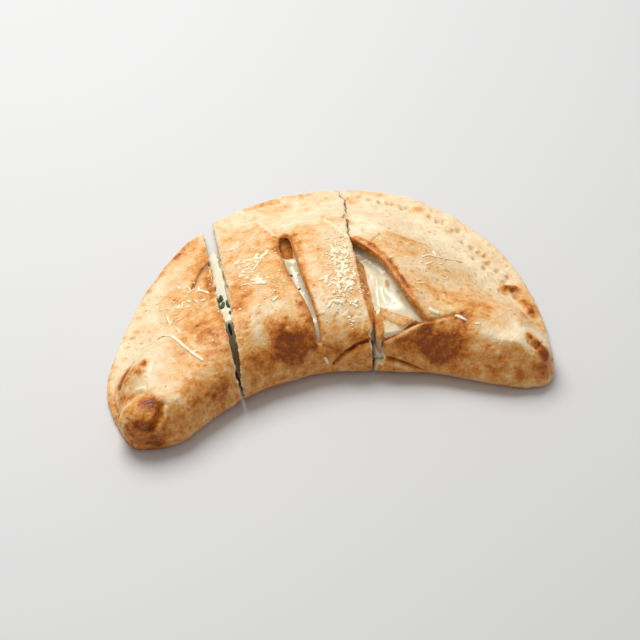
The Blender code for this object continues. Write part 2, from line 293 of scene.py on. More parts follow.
@dataclass(frozen=True)
class DoughForm:
    """The whole calzone's smooth form: a puffed dome over a thin sealed rim, with two knobs."""

    crown_height: float = 35.2
    crown_fall: float = 6.0
    crown_fall_span: tuple = (30.0, 110.0)
    tip_fall: float = 3.0
    nose_height: float = 9.0
    fold_width: float = 34.0
    fold_undercut: float = 13.0
    rim_band: float = 22.0
    rim_slope: float = 51.0
    slope_power: float = 1.5
    rim_edge: float = 5.0
    rim_swell: float = 3.5
    rim_setback: float = 6.0
    tip_rounding: float = 16.0
    tip_rim_band: float = 3.0
    tip_slope: float = 17.0
    tip_fold_width: float = 17.0
    blend: float = 7.0
    field_scale: float = 22.0
    top_crust: float = 3.6
    base_crust: float = 4.5
    filling_sag: float = 2.2
    left_tip: tuple = (-100.0, -72.2)
    left_tip_reach: tuple = (15.0, 75.0)
    right_tip: tuple = (104.0, -62.2)
    right_tip_reach: tuple = (10.0, 60.0)
    left_knob: tuple = ((-98.5, -78.7, 12.5), (14.5, 11.5, 13.2))
    right_knob: tuple = ((103.5, -62.2, 9.5), (9.5, 12.0, 11.2))
    knob_blend: float = 8.0
    slit_dips: tuple = ((-12.5, 1.6, 9.0), (20.0, 1.2, 10.0))
    dip_front: tuple = (-53.2, -31.2)
    dip_rear: tuple = (10.8, 32.8)
    swells: tuple = (
        Swell(OPEN_SLIT[1:8], 1.8, 5.0),
        Swell(((-10.7, 20.3), (-10.8, 2.8), (-10.3, -13.2), (-9.0, -32.2), (-6.4, -47.2)), 0.9, 4.5),
        Swell(((-22.0, -42.2), (-20.0, -41.2)), 1.8, 8.0),
        Swell(((56.0, -55.2), (64.0, -56.2)), 2.2, 11.0),
        Swell(((-80.0, -50.0), (-69.0, -10.0)), -1.2, 13.0),
        Swell(((80.0, -15.0), (85.0, 8.0)), -1.0, 10.0),
    )

    def plan_layers(self, at: np.ndarray) -> Layers:
        """Measures what depends on the place in plan alone.

        Args:
            at: points in plan.

        Returns:
            Distances to fold and rim, the tip share and the crown's height, by name.
        """
        outline = smooth_line(RIM_LINE + FOLD_LINE, 8, closed=True)
        corner = (len(RIM_LINE) - 1) * 8
        side = np.where(signed_distance(outline, at) < 0, 1.0, -1.0)
        to_rim = side * distance_to(outline[: corner + 1], at)
        to_fold = side * distance_to(np.vstack([outline[corner:], outline[:1]]), at)
        x, y = at.T
        left = 1 - ramp(np.hypot(x - self.left_tip[0], y - self.left_tip[1]), *self.left_tip_reach)
        right = 1 - ramp(np.hypot(x - self.right_tip[0], y - self.right_tip[1]), *self.right_tip_reach)
        tip = np.maximum(left, right)
        crown = self.crown_height - self.crown_fall * ramp(np.abs(x), *self.crown_fall_span)
        crown = crown - self.tip_fall * tip
        for slit_x, dip, reach in self.slit_dips:
            along = ramp(y, *self.dip_front) * (1 - ramp(y, *self.dip_rear))
            crown = crown - dip * along * np.exp(-(((x - slit_x) / reach) ** 2))
        swell = sum(
            s.rise * np.exp(-((distance_to(np.array(s.line), at) / s.reach) ** 2)) for s in self.swells
        )
        return {"to_fold": to_fold, "to_rim": to_rim, "tip": tip, "crown": crown, "swell": swell}

    def dome(self, z: np.ndarray, plan: Layers) -> np.ndarray:
        """Field of the puffed part.

        Args:
            z: heights.
            plan: the layers at the same places.

        Returns:
            The field's value at each point.
        """
        tip = plan["tip"]
        fold_width = self.fold_width + (self.tip_fold_width - self.fold_width) * tip
        band = self.rim_band + (self.tip_rim_band - self.rim_band) * tip
        slope = self.rim_slope + (self.tip_slope - self.rim_slope) * tip
        over_fold = np.maximum(0, 1 - plan["to_fold"] / fold_width)
        over_slope = np.maximum(0, 1 - (plan["to_rim"] - band) / slope) ** self.slope_power
        rise = plan["crown"] + plan["swell"] - self.nose_height
        over_nose = z - self.nose_height
        lift = np.where(over_nose >= 0, over_nose / rise, -over_nose / self.fold_undercut)
        return (np.hypot(lift + over_slope, over_fold) - 1) * self.field_scale

    def skin(self, x: np.ndarray, y: np.ndarray, z: np.ndarray, plan: Layers) -> np.ndarray:
        """Field of the uncut calzone, as if the dough were solid.

        Args:
            x: places along X.
            y: places along Y.
            z: heights.
            plan: the layers at the same places.

        Returns:
            The field's value at each point.
        """
        body = self.dome(z, plan)
        for centre, radii in (self.left_knob, self.right_knob):
            ratio = np.sqrt(sum(((v - c) / r) ** 2 for v, c, r in zip((x, y, z), centre, radii)))
            body = soft_union(body, (ratio - 1) * min(radii), self.knob_blend)
        thickness = self.rim_edge + self.rim_swell * ramp(plan["to_rim"], 0, self.rim_band)
        to_edge = soft_union(plan["to_fold"] - self.rim_setback, plan["to_rim"], self.tip_rounding)
        beyond = np.maximum(thickness / 2 - to_edge, 0)
        sheet = np.hypot(beyond, z - thickness / 2) - thickness / 2
        return np.maximum(soft_union(body, sheet, self.blend), -z)

    def hollow(self, z: np.ndarray, plan: Layers) -> np.ndarray:
        """Field of the space inside the dough."""
        return np.maximum(self.dome(z, plan) + self.top_crust, self.base_crust - z)


class PlanMap:
    """The plan layers on a fine grid, read on it or between its points."""

    def __init__(self, form: DoughForm, slits: dict[str, Slit], step: float) -> None:
        """Measures the layers.

        Args:
            form: the calzone's form.
            slits: the openings whose distances are kept too, by name.
            step: millimetres between grid points.
        """
        self.step = step
        self.low = np.array([-120.0, -94.0])
        self.x = np.arange(self.low[0], 120.0, step)
        self.y = np.arange(self.low[1], 94.0, step)
        at = np.stack(np.meshgrid(self.x, self.y, indexing="ij"), axis=-1).reshape(-1, 2)
        layers = form.plan_layers(at)
        for name, slit in slits.items():
            layers[name] = signed_distance(smooth_line(slit.outline, 3, closed=True), at)
        shape = (len(self.x), len(self.y))
        self.layers = {name: values.reshape(shape).astype(np.float32) for name, values in layers.items()}

    def columns(self, low: int, high: int) -> Layers:
        """The layers from one row of X to another, shaped to meet a column of heights."""
        return {name: values[low:high, :, None] for name, values in self.layers.items()}

    def at(self, points: np.ndarray) -> Layers:
        """Reads the layers between grid points.

        Args:
            points: places whose first two coordinates are the plan.

        Returns:
            Each layer's value at each point, by name.
        """
        place = (points[:, :2] - self.low) / self.step
        place = np.clip(place, 0, np.array([len(self.x), len(self.y)]) - 1.001)
        i, j = place.astype(int).T
        u, v = (place - place.astype(int)).T
        return {
            name: (a[i, j] * (1 - u) + a[i + 1, j] * u) * (1 - v)
            + (a[i, j + 1] * (1 - u) + a[i + 1, j + 1] * u) * v
            for name, a in self.layers.items()
        }


# Meshes


@dataclass
class NetMesh:
    """A closed mesh of triangles in millimetres."""

    points: np.ndarray
    faces: np.ndarray
    cells: np.ndarray

    def normals(self) -> np.ndarray:
        """Works out the outward direction at each point.

        Returns:
            One unit vector a point.
        """
        a, b, c = (self.points[self.faces[:, n]] for n in range(3))
        across = np.cross(b - a, c - a)
        total = np.stack(
            [
                np.bincount(self.faces.ravel(), np.repeat(across[:, axis], 3), len(self.points))
                for axis in range(3)
            ],
            axis=1,
        )
        return total / np.maximum(np.linalg.norm(total, axis=1, keepdims=True), 1e-9)

    def coarsened(self, plain: np.ndarray, block: int) -> "NetMesh":
        """Merges the points of plain stretches, block by block.

        Args:
            plain: true for the points that may be merged.
            block: how many cells make a block, each way.

        Returns:
            The lighter mesh.
        """
        size = self.cells.max(axis=0) + 2
        cell = np.where(plain[:, None], self.cells // block, self.cells)
        key = (cell[:, 0] * size[1] + cell[:, 1]) * size[2] + cell[:, 2]
        key = np.where(plain, key, key + size.prod())
        _, first, merged, count = np.unique(key, return_index=True, return_inverse=True, return_counts=True)
        merged = merged.reshape(-1)
        sums = np.stack([np.bincount(merged, self.points[:, axis]) for axis in range(3)], axis=1)
        faces = merged[self.faces]
        whole = (faces[:, 0] != faces[:, 1]) & (faces[:, 1] != faces[:, 2]) & (faces[:, 0] != faces[:, 2])
        faces = faces[whole]
        _, kept = np.unique(np.sort(faces, axis=1), axis=0, return_index=True)
        return NetMesh(sums / count[:, None], faces[np.sort(kept)], self.cells[first])


def surface_net(values: np.ndarray, low: np.ndarray, step: float) -> NetMesh:
    """Wraps the zero level of a field on a grid.

    Args:
        values: the field, negative inside, on a grid of X, Y and Z.
        low: the grid's first point.
        step: millimetres between grid points.

    Returns:
        The closed surface, with its faces pointing out.
    """
    inside = values < 0
    corners = list(itertools.product((0, 1), repeat=3))
    size = np.array(values.shape) - 1
    filled = sum(
        inside[i : i + size[0], j : j + size[1], k : k + size[2]].astype(np.int8) for i, j, k in corners
    )
    cells = np.argwhere((filled > 0) & (filled < 8))
    number = np.full(size, -1, np.int32)
    number[tuple(cells.T)] = np.arange(len(cells))
    level = np.stack([values[tuple((cells + corner).T)] for corner in corners], axis=1)
    total, count = np.zeros((len(cells), 3)), np.zeros((len(cells), 1))
    for a, b in itertools.combinations(range(8), 2):
        start, way = np.array(corners[a]), np.array(corners[b]) - corners[a]
        if np.abs(way).sum() != 1:
            continue
        crossed = (level[:, a] < 0) != (level[:, b] < 0)
        share = np.where(crossed, level[:, a] / np.where(crossed, level[:, a] - level[:, b], 1), 0)
        total += np.where(crossed[:, None], start + share[:, None] * way, 0)
        count += crossed[:, None]
    points = low + step * (cells + total / count)
    quads = []
    for axis in range(3):
        ahead = np.take(inside, range(1, values.shape[axis]), axis)
        behind = np.take(inside, range(values.shape[axis] - 1), axis)
        edges = np.argwhere(ahead != behind)
        second, third = (axis + 1) % 3, (axis + 2) % 3
        edges = edges[(edges[:, second] > 0) & (edges[:, third] > 0)]
        edges = edges[(edges[:, second] < size[second]) & (edges[:, third] < size[third])]
        ring = []
        for back, side in ((1, 1), (0, 1), (0, 0), (1, 0)):
            cell = edges.copy()
            cell[:, second] -= back
            cell[:, third] -= side
            ring.append(number[tuple(cell.T)])
        quad = np.stack(ring, axis=1)
        outward = inside[tuple(edges.T)]
        quads.append(np.where(outward[:, None], quad, quad[:, ::-1]))
    quads = np.vstack(quads)
    faces = np.vstack([quads[:, [0, 1, 2]], quads[:, [0, 2, 3]]])
    return NetMesh(points, faces, cells)


def make_piece(name: str, points: np.ndarray, faces: np.ndarray, finish: bpy.types.Material,
               looks: Layers | None = None) -> bpy.types.Object:
    """Makes a mesh object that rides on the calzone.

    Args:
        name: the piece's name.
        points: its points in millimetres.
        faces: its faces, all with the same number of corners.
        finish: its material.
        looks: values for each point that the material reads, by name.

    Returns:
        The new object.
    """
    mesh = bpy.data.meshes.new(name)
    mesh.vertices.add(len(points))
    mesh.vertices.foreach_set("co", (points * MM).astype(np.float32).ravel())
    mesh.loops.add(faces.size)
    mesh.loops.foreach_set("vertex_index", faces.astype(np.int32).ravel())
    mesh.polygons.add(len(faces))
    mesh.polygons.foreach_set("loop_start", np.arange(len(faces), dtype=np.int32) * faces.shape[1])
    mesh.update(calc_edges=True)
    mesh.validate()
    mesh.shade_smooth()
    for key, values in (looks or {}).items():
        layer = mesh.attributes.new(key, "FLOAT", "POINT")
        layer.data.foreach_set("value", values.astype(np.float32))
    mesh.materials.append(finish)
    made = bpy.data.objects.new(name, mesh)
    bpy.context.scene.collection.objects.link(made)
    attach(made, "root")
    LOG.info("%s: %d triangles", name, len(faces) * (faces.shape[1] - 2))
    return made


# Finishes


class Shading:
    """A small kit for a material's nodes."""

    def __init__(self, name: str) -> None:
        """Starts a material with a Principled shader and nothing else.

        Args:
            name: the material's name.
        """
        self.material = bpy.data.materials.new(name)
        self.material.use_nodes = True
        self.nodes = self.material.node_tree.nodes
        self.links = self.material.node_tree.links
        self.shader = self.nodes["Principled BSDF"]
        self.place = self.nodes.new("ShaderNodeTexCoord").outputs["Object"]

    def set(self, **values: float | tuple) -> None:
        """Sets the shader's own sockets, with _ for the blank in a socket's name."""
        for name, value in values.items():
            self.shader.inputs[name.replace("_", " ")].default_value = value

    def link(self, source: bpy.types.NodeSocket, target: bpy.types.NodeSocket) -> None:
        """Joins two sockets."""
        self.links.new(source, target)

    def look(self, name: str) -> bpy.types.NodeSocket:
        """Reads a value that the mesh holds at each point.

        Args:
            name: the value's name.

        Returns:
            The socket that gives it.
        """
        node = self.nodes.new("ShaderNodeAttribute")
        node.attribute_name = name
        return node.outputs["Fac"]

    def noise(self, size: float, detail: float = 2.0, rough: float = 0.5) -> bpy.types.NodeSocket:
        """Adds noise from 0 to 1.

        Args:
            size: how far apart its lumps are, in millimetres.
            detail: how many finer layers it has.
            rough: how strong the finer layers are.

        Returns:
            The socket that gives it.
        """
        node = self.nodes.new("ShaderNodeTexNoise")
        node.inputs["Scale"].default_value = 1 / (size * MM)
        node.inputs["Detail"].default_value = detail
        node.inputs["Roughness"].default_value = rough
        self.link(self.place, node.inputs["Vector"])
        return node.outputs["Fac"]

    def cells(self, size: float) -> bpy.types.NodeSocket:
        """Adds the distance from the nearest of many scattered points.

        Args:
            size: how far apart the points are, in millimetres.

        Returns:
            The socket that gives the distance, in cells.
        """
        node = self.nodes.new("ShaderNodeTexVoronoi")
        node.inputs["Scale"].default_value = 1 / (size * MM)
        self.link(self.place, node.inputs["Vector"])
        return node.outputs["Distance"]

    def math(self, how: str, *values: bpy.types.NodeSocket | float,
             clamp: bool = False) -> bpy.types.NodeSocket:
        """Adds one Math node.

        Args:
            how: what it does.
            values: the sockets or numbers that it works on.
            clamp: whether the result is held between 0 and 1.

        Returns:
            The socket that gives the result.
        """
        node = self.nodes.new("ShaderNodeMath")
        node.operation = how
        node.use_clamp = clamp
        for socket, value in zip(node.inputs, values):
            if isinstance(value, (int, float)):
                socket.default_value = value
            else:
                self.link(value, socket)
        return node.outputs[0]

    def span(self, value: bpy.types.NodeSocket, low: float, high: float,
             to_low: float = 0.0, to_high: float = 1.0) -> bpy.types.NodeSocket:
        """Maps a span of values onto another, and holds it at both ends.

        Args:
            value: the socket to map.
            low: where the span starts.
            high: where it ends.
            to_low: the result at its start.
            to_high: the result at its end.

        Returns:
            The socket that gives the result.
        """
        node = self.nodes.new("ShaderNodeMapRange")
        node.interpolation_type = "SMOOTHSTEP"
        ends = {"From Min": low, "From Max": high, "To Min": to_low, "To Max": to_high}
        for name, number in ends.items():
            node.inputs[name].default_value = number
        self.link(value, node.inputs["Value"])
        return node.outputs["Result"]

    def ramp(self, value: bpy.types.NodeSocket, stops: tuple) -> bpy.types.NodeSocket:
        """Colours by a value.

        Args:
            value: the socket to colour by.
            stops: the stops, each a place, red, green and blue.

        Returns:
            The socket that gives the colour.
        """
        node = self.nodes.new("ShaderNodeValToRGB")
        band = node.color_ramp
        while len(band.elements) < len(stops):
            band.elements.new(0.5)
        for element, (place, *colour) in zip(band.elements, stops):
            element.position = place
            element.color = (*colour, 1.0)
        self.link(value, node.inputs["Fac"])
        return node.outputs["Color"]

    def mix(self, share: bpy.types.NodeSocket | float, first: bpy.types.NodeSocket | tuple,
            second: bpy.types.NodeSocket | tuple) -> bpy.types.NodeSocket:
        """Mixes two colours.

        Args:
            share: the second colour's share.
            first: the first colour, or its socket.
            second: the second colour, or its socket.

        Returns:
            The socket that gives the mixture.
        """
        node = self.nodes.new("ShaderNodeMix")
        node.data_type = "RGBA"
        for name, value in (("Factor_Float", share), ("A_Color", first), ("B_Color", second)):
            socket = next(s for s in node.inputs if s.identifier == name)
            if isinstance(value, (float, tuple)):
                socket.default_value = (*value, 1.0) if isinstance(value, tuple) else value
            else:
                self.link(value, socket)
        return next(s for s in node.outputs if s.identifier == "Result_Color")

    def bump(self, height: bpy.types.NodeSocket, distance: float) -> None:
        """Adds relief under what the shader already has.

        Args:
            height: the socket that gives the relief, from 0 to 1.
            distance: its depth in millimetres.
        """
        node = self.nodes.new("ShaderNodeBump")
        node.inputs["Distance"].default_value = distance * MM
        self.link(height, node.inputs["Height"])
        normal = self.shader.inputs["Normal"]
        if normal.is_linked:
            self.link(normal.links[0].from_socket, node.inputs["Normal"])
        self.link(node.outputs["Normal"], normal)


@dataclass(frozen=True)
class CrustFinish:
    """Baked dough: coloured by its browning, which also carries painted shade, with a pale crumb where it
    was cut.
    """

    baking: tuple = (
        (0.00, 1.00, 0.82, 0.56),
        (0.15, 0.86, 0.68, 0.43),
        (0.30, 0.81, 0.53, 0.26),
        (0.45, 0.78, 0.41, 0.13),
        (0.60, 0.69, 0.29, 0.062),
        (0.75, 0.57, 0.18, 0.016),
        (0.88, 0.43, 0.115, 0.004),
        (1.00, 0.25, 0.052, 0.002),
    )
    crumb: tuple = (0.90, 0.74, 0.49)
    crumb_shade: float = 0.86
    pore: tuple = (0.46, 0.19, 0.06)
    pore_share: float = 0.45
    mottled: float = 0.90
    flecked: float = 0.50
    uneven_pale: tuple = (0.08, 0.55, 0.22, 1.2)
    uneven_dark: tuple = (0.60, 0.95, 1.0, 0.8)
    roughness: tuple = (0.34, 0.54)
    fine_relief: float = 0.12
    broad_relief: float = 0.40

    def material(self) -> bpy.types.Material:
        """Makes the material.

        Returns:
            The new material.
        """
        kit = Shading("baked_dough")
        kit.set(Specular_IOR_Level=0.35)
        mottle = kit.math("SUBTRACT", kit.noise(4.5, 4.0, 0.65), 0.5)
        fine = kit.math("SUBTRACT", kit.noise(1.2, 3.0, 0.65), 0.5)
        mottle, fine = kit.math("MULTIPLY", mottle, self.mottled), kit.math("MULTIPLY", fine, self.flecked)
        uneven = kit.math("ADD", mottle, fine)
        browning_and_shade = kit.look("browning_and_shade")
        uneven = kit.math("MULTIPLY", uneven, kit.span(browning_and_shade, *self.uneven_pale))
        uneven = kit.math("MULTIPLY", uneven, kit.span(browning_and_shade, *self.uneven_dark))
        baked = kit.math("ADD", browning_and_shade, uneven, clamp=True)
        colour = kit.ramp(baked, self.baking)
        pore = kit.span(kit.cells(3.1), 0.17, 0.06)
        colour = kit.mix(kit.math("MULTIPLY", pore, self.pore_share), colour, self.pore)
        inner = kit.mix(kit.noise(2.0, 3.0), tuple(self.crumb_shade * c for c in self.crumb), self.crumb)
        colour = kit.mix(kit.look("crumb"), colour, inner)
        kit.link(colour, kit.shader.inputs["Base Color"])
        kit.link(kit.span(kit.noise(3.0, 2.0), 0.3, 0.7, *self.roughness), kit.shader.inputs["Roughness"])
        kit.bump(kit.noise(0.9, 4.0, 0.65), self.fine_relief)
        kit.bump(kit.noise(2.6, 2.0), self.broad_relief)
        return kit.material


@dataclass(frozen=True)
class CheeseFinish:
    """Melted cheese: creamy, glossy and a little translucent, with a browner tone for toasted bits and for
    painted shade.
    """

    cream: tuple = (0.82, 0.73, 0.49)
    milky: tuple = (0.80, 0.76, 0.60)
    browner_tone: tuple = (0.55, 0.30, 0.10)
    relief: float = 0.18

    def material(self) -> bpy.types.Material:
        """Makes the material.

        Returns:
            The new material.
        """
        kit = Shading("melted_cheese")
        kit.set(Roughness=0.20, Subsurface_Weight=0.25, Subsurface_Scale=0.002)
        kit.set(Subsurface_Radius=(1.0, 0.8, 0.5))
        colour = kit.mix(kit.span(kit.noise(7.0, 2.0), 0.35, 0.65), self.cream, self.milky)
        # the browner tone: toasted bits, and painted shade where the middle filling fills the front of the
        # left cut
        colour = kit.mix(kit.look("browner_tone"), colour, self.browner_tone)
        kit.link(colour, kit.shader.inputs["Base Color"])
        kit.bump(kit.noise(2.6, 2.0), self.relief)
        return kit.material


@dataclass(frozen=True)
class GratedFinish:
    """Dry grated cheese on the crust."""

    colour: tuple = (0.98, 0.86, 0.62)
    browner_tone: tuple = (0.95, 0.76, 0.48)

    def material(self) -> bpy.types.Material:
        """Makes the material.

        Returns:
            The new material.
        """
        kit = Shading("grated_cheese")
        kit.set(Roughness=0.50)
        kit.link(
            kit.mix(kit.span(kit.noise(6.0, 1.0), 0.4, 0.7), self.colour, self.browner_tone),
            kit.shader.inputs["Base Color"],
        )
        kit.bump(kit.noise(0.5, 2.0), 0.10)
        return kit.material


@dataclass(frozen=True)
class LeafFinish:
    """Cooked spinach."""

    dark: tuple = (0.018, 0.030, 0.008)
    green: tuple = (0.070, 0.105, 0.022)

    def material(self) -> bpy.types.Material:
        """Makes the material.

        Returns:
            The new material.
        """
        kit = Shading("cooked_spinach")
        kit.set(Roughness=0.30)
        kit.link(
            kit.mix(kit.noise(1.5, 2.0), self.dark, self.green), kit.shader.inputs["Base Color"]
        )
        kit.bump(kit.noise(0.8, 2.0), 0.2)
        return kit.material


# Marks on the surface


@dataclass(frozen=True)
class Mark:
    """A crease, ridge, dimple or spot along a line on the surface, in space or in plan.

    A positive rise lifts the surface, a negative one sinks it, and tint browns it.
    """

    line: tuple
    reach: float
    rise: float = 0.0
    tint: float = 0.0
    wander: float = 0.3

    def share(self, points: np.ndarray, normals: np.ndarray, noise: Noise) -> np.ndarray:
        """How strongly the mark is felt.

        Args:
            points: the surface's points.
            normals: its directions.
            noise: what makes the mark's edge uneven.

        Returns:
            A share from 0 to 1 for each point.
        """
        line = np.array(self.line, float)
        if line.shape[1] == 2:
            gap = distance_to(line, points[:, :2]) + 1e3 * (normals[:, 2] < 0.05)
        else:
            snapped = [points[((points - stop) ** 2).sum(1).argmin()] for stop in line]
            gap = distance_to(np.array(snapped), points)
        near = gap < 3 * self.reach
        felt = np.zeros(len(points))
        uneven = noise.fractal(points[near], 1.6 * self.reach, 2)
        felt[near] = np.exp(-np.maximum(gap[near] / self.reach + self.wander * uneven, 0) ** 2.2)
        return felt


@dataclass(frozen=True)
class Plateau:
    """A raised or browned area of the crust, as an outline in plan with a soft edge."""

    outline: tuple
    edge: float
    rise: float = 0.0
    tint: float = 0.0

    def share(self, points: np.ndarray, normals: np.ndarray, noise: Noise) -> np.ndarray:
        """How strongly the area is felt.

        Args:
            points: the surface's points.
            normals: its directions.
            noise: what makes the area's edge uneven.

        Returns:
            A share from 0 to 1 for each point.
        """
        gap = signed_distance(smooth_line(self.outline, 4, closed=True), points[:, :2])
        gap = gap + 0.4 * self.edge * noise.fractal(points, 3 * self.edge, 2)
        return ramp(-gap, -self.edge / 2, self.edge / 2) * (normals[:, 2] > -0.2)


def spots(places: tuple, reach: float, rise: float, tint: float, wander: float = 0.3) -> tuple:
    """The same mark at several places."""
    return tuple(Mark((place,), reach, rise, tint, wander) for place in places)


def browned(*rows: tuple) -> tuple:
    """Marks that only brown the skin, each from its reach, its tint and the points of its line."""
    return tuple(Mark(tuple(line), reach, 0, tint) for reach, tint, *line in rows)


# Sections of dough


@dataclass(frozen=True)
class KnifeFace:
    """A knife's cut through the dough, as X along Y from the rim to the fold."""

    line: tuple
    lean: float = 0.0
    below: float = 20.0
    fold_start: tuple = (-44.0, -58.0)
    # whether shade is painted into the cut's walls at its front
    painted_shade_front: bool = False

    def x_at(self, y: np.ndarray, z: np.ndarray | float = 99.0) -> np.ndarray:
        """Tells where the face stands at each Y, leaning to the right under the fold.

        Args:
            y: places along Y.
            z: heights.

        Returns:
            The places along X.
        """
        places = sorted((y_at, x_at) for x_at, y_at in self.line)
        stands = np.interp(y, [p[0] for p in places], [p[1] for p in places])
        return stands + self.lean * np.maximum(self.below - z, 0) * ramp(y, *self.fold_start)


@dataclass(frozen=True)
class Flank:
    """The side of a strip of dough that curls down beside an opening."""

    face: KnifeFace
    top: float = 34.4
    foot: float = 26.0
    lean: float = 0.78
    thickness: float = 2.6
    span: tuple = (-47.5, 9.0)

    def values(self, x: np.ndarray, y: np.ndarray, z: np.ndarray) -> np.ndarray:
        """Field of the curled side.

        Args:
            x: places along X.
            y: places along Y.
            z: heights.

        Returns:
            The field's value at each point.
        """
        out = ramp(y, self.span[0], self.span[0] + 10) * ramp(y, self.span[1], self.span[1] - 9)
        side = self.face.x_at(y) + self.lean * out * (self.top - z)
        sheet = np.maximum(x - side, side - self.thickness / self.lean - x) / math.hypot(1, self.lean)
        ends = np.maximum(self.span[0] - y, y - self.span[1])
        return np.maximum(np.maximum(sheet, self.foot - z), np.maximum(z - self.top, ends))

    def share(self, points: np.ndarray) -> np.ndarray:
        """Tells how far each point belongs to the curled side.

        Args:
            points: the surface's points.

        Returns:
            The shares, from 0 to 1.
        """
        x, y, z = points.T
        near = ramp(x - self.face.x_at(y), -0.6, 0.6) * ramp(z, self.foot - 3, self.foot)
        front, rear = self.span
        return near * ramp(y, front - 1, front + 1) * ramp(y, rear + 1, rear - 1)


@dataclass(frozen=True)
class Slab:
    """A torn piece of crust: an outline in plan under a sloping top.

    Its top face passes through three points and is browned, and its sides are crumb.
    """

    outline: tuple
    top: tuple
    thickness: float
    tint: float = 0.3
    fillet: float = 0.8
    pale: float = 1.0

    def height(self, x: np.ndarray, y: np.ndarray) -> np.ndarray:
        """Tells how high the top face is.

        Args:
            x: places along X.
            y: places along Y.

        Returns:
            The heights.
        """
        a, b, c = np.array(self.top, float)
        way = np.cross(b - a, c - a)
        return a[2] - (way[0] * (x - a[0]) + way[1] * (y - a[1])) / way[2]

    def values(self, x: np.ndarray, y: np.ndarray, z: np.ndarray) -> np.ndarray:
        """Field of the torn piece.

        Args:
            x: places along X.
            y: places along Y.
            z: heights.

        Returns:
            The field's value at each point.
        """
        under = z - self.height(x, y)
        return np.maximum(plan_gap(self.outline, x, y), np.maximum(under, -under - self.thickness))

    def shares(self, points: np.ndarray) -> tuple:
        """Tells how far each point belongs to the piece, and to its browned top.

        Args:
            points: the surface's points.

        Returns:
            Both shares, from 0 to 1.
        """
        under = points[:, 2] - self.height(points[:, 0], points[:, 1])
        gap = signed_distance(np.array(self.outline, float), points[:, :2])
        gap = np.maximum(gap, np.maximum(under, -under - self.thickness))
        return ramp(gap, 1.0, 0.3), ramp(under, -0.9, -0.3)


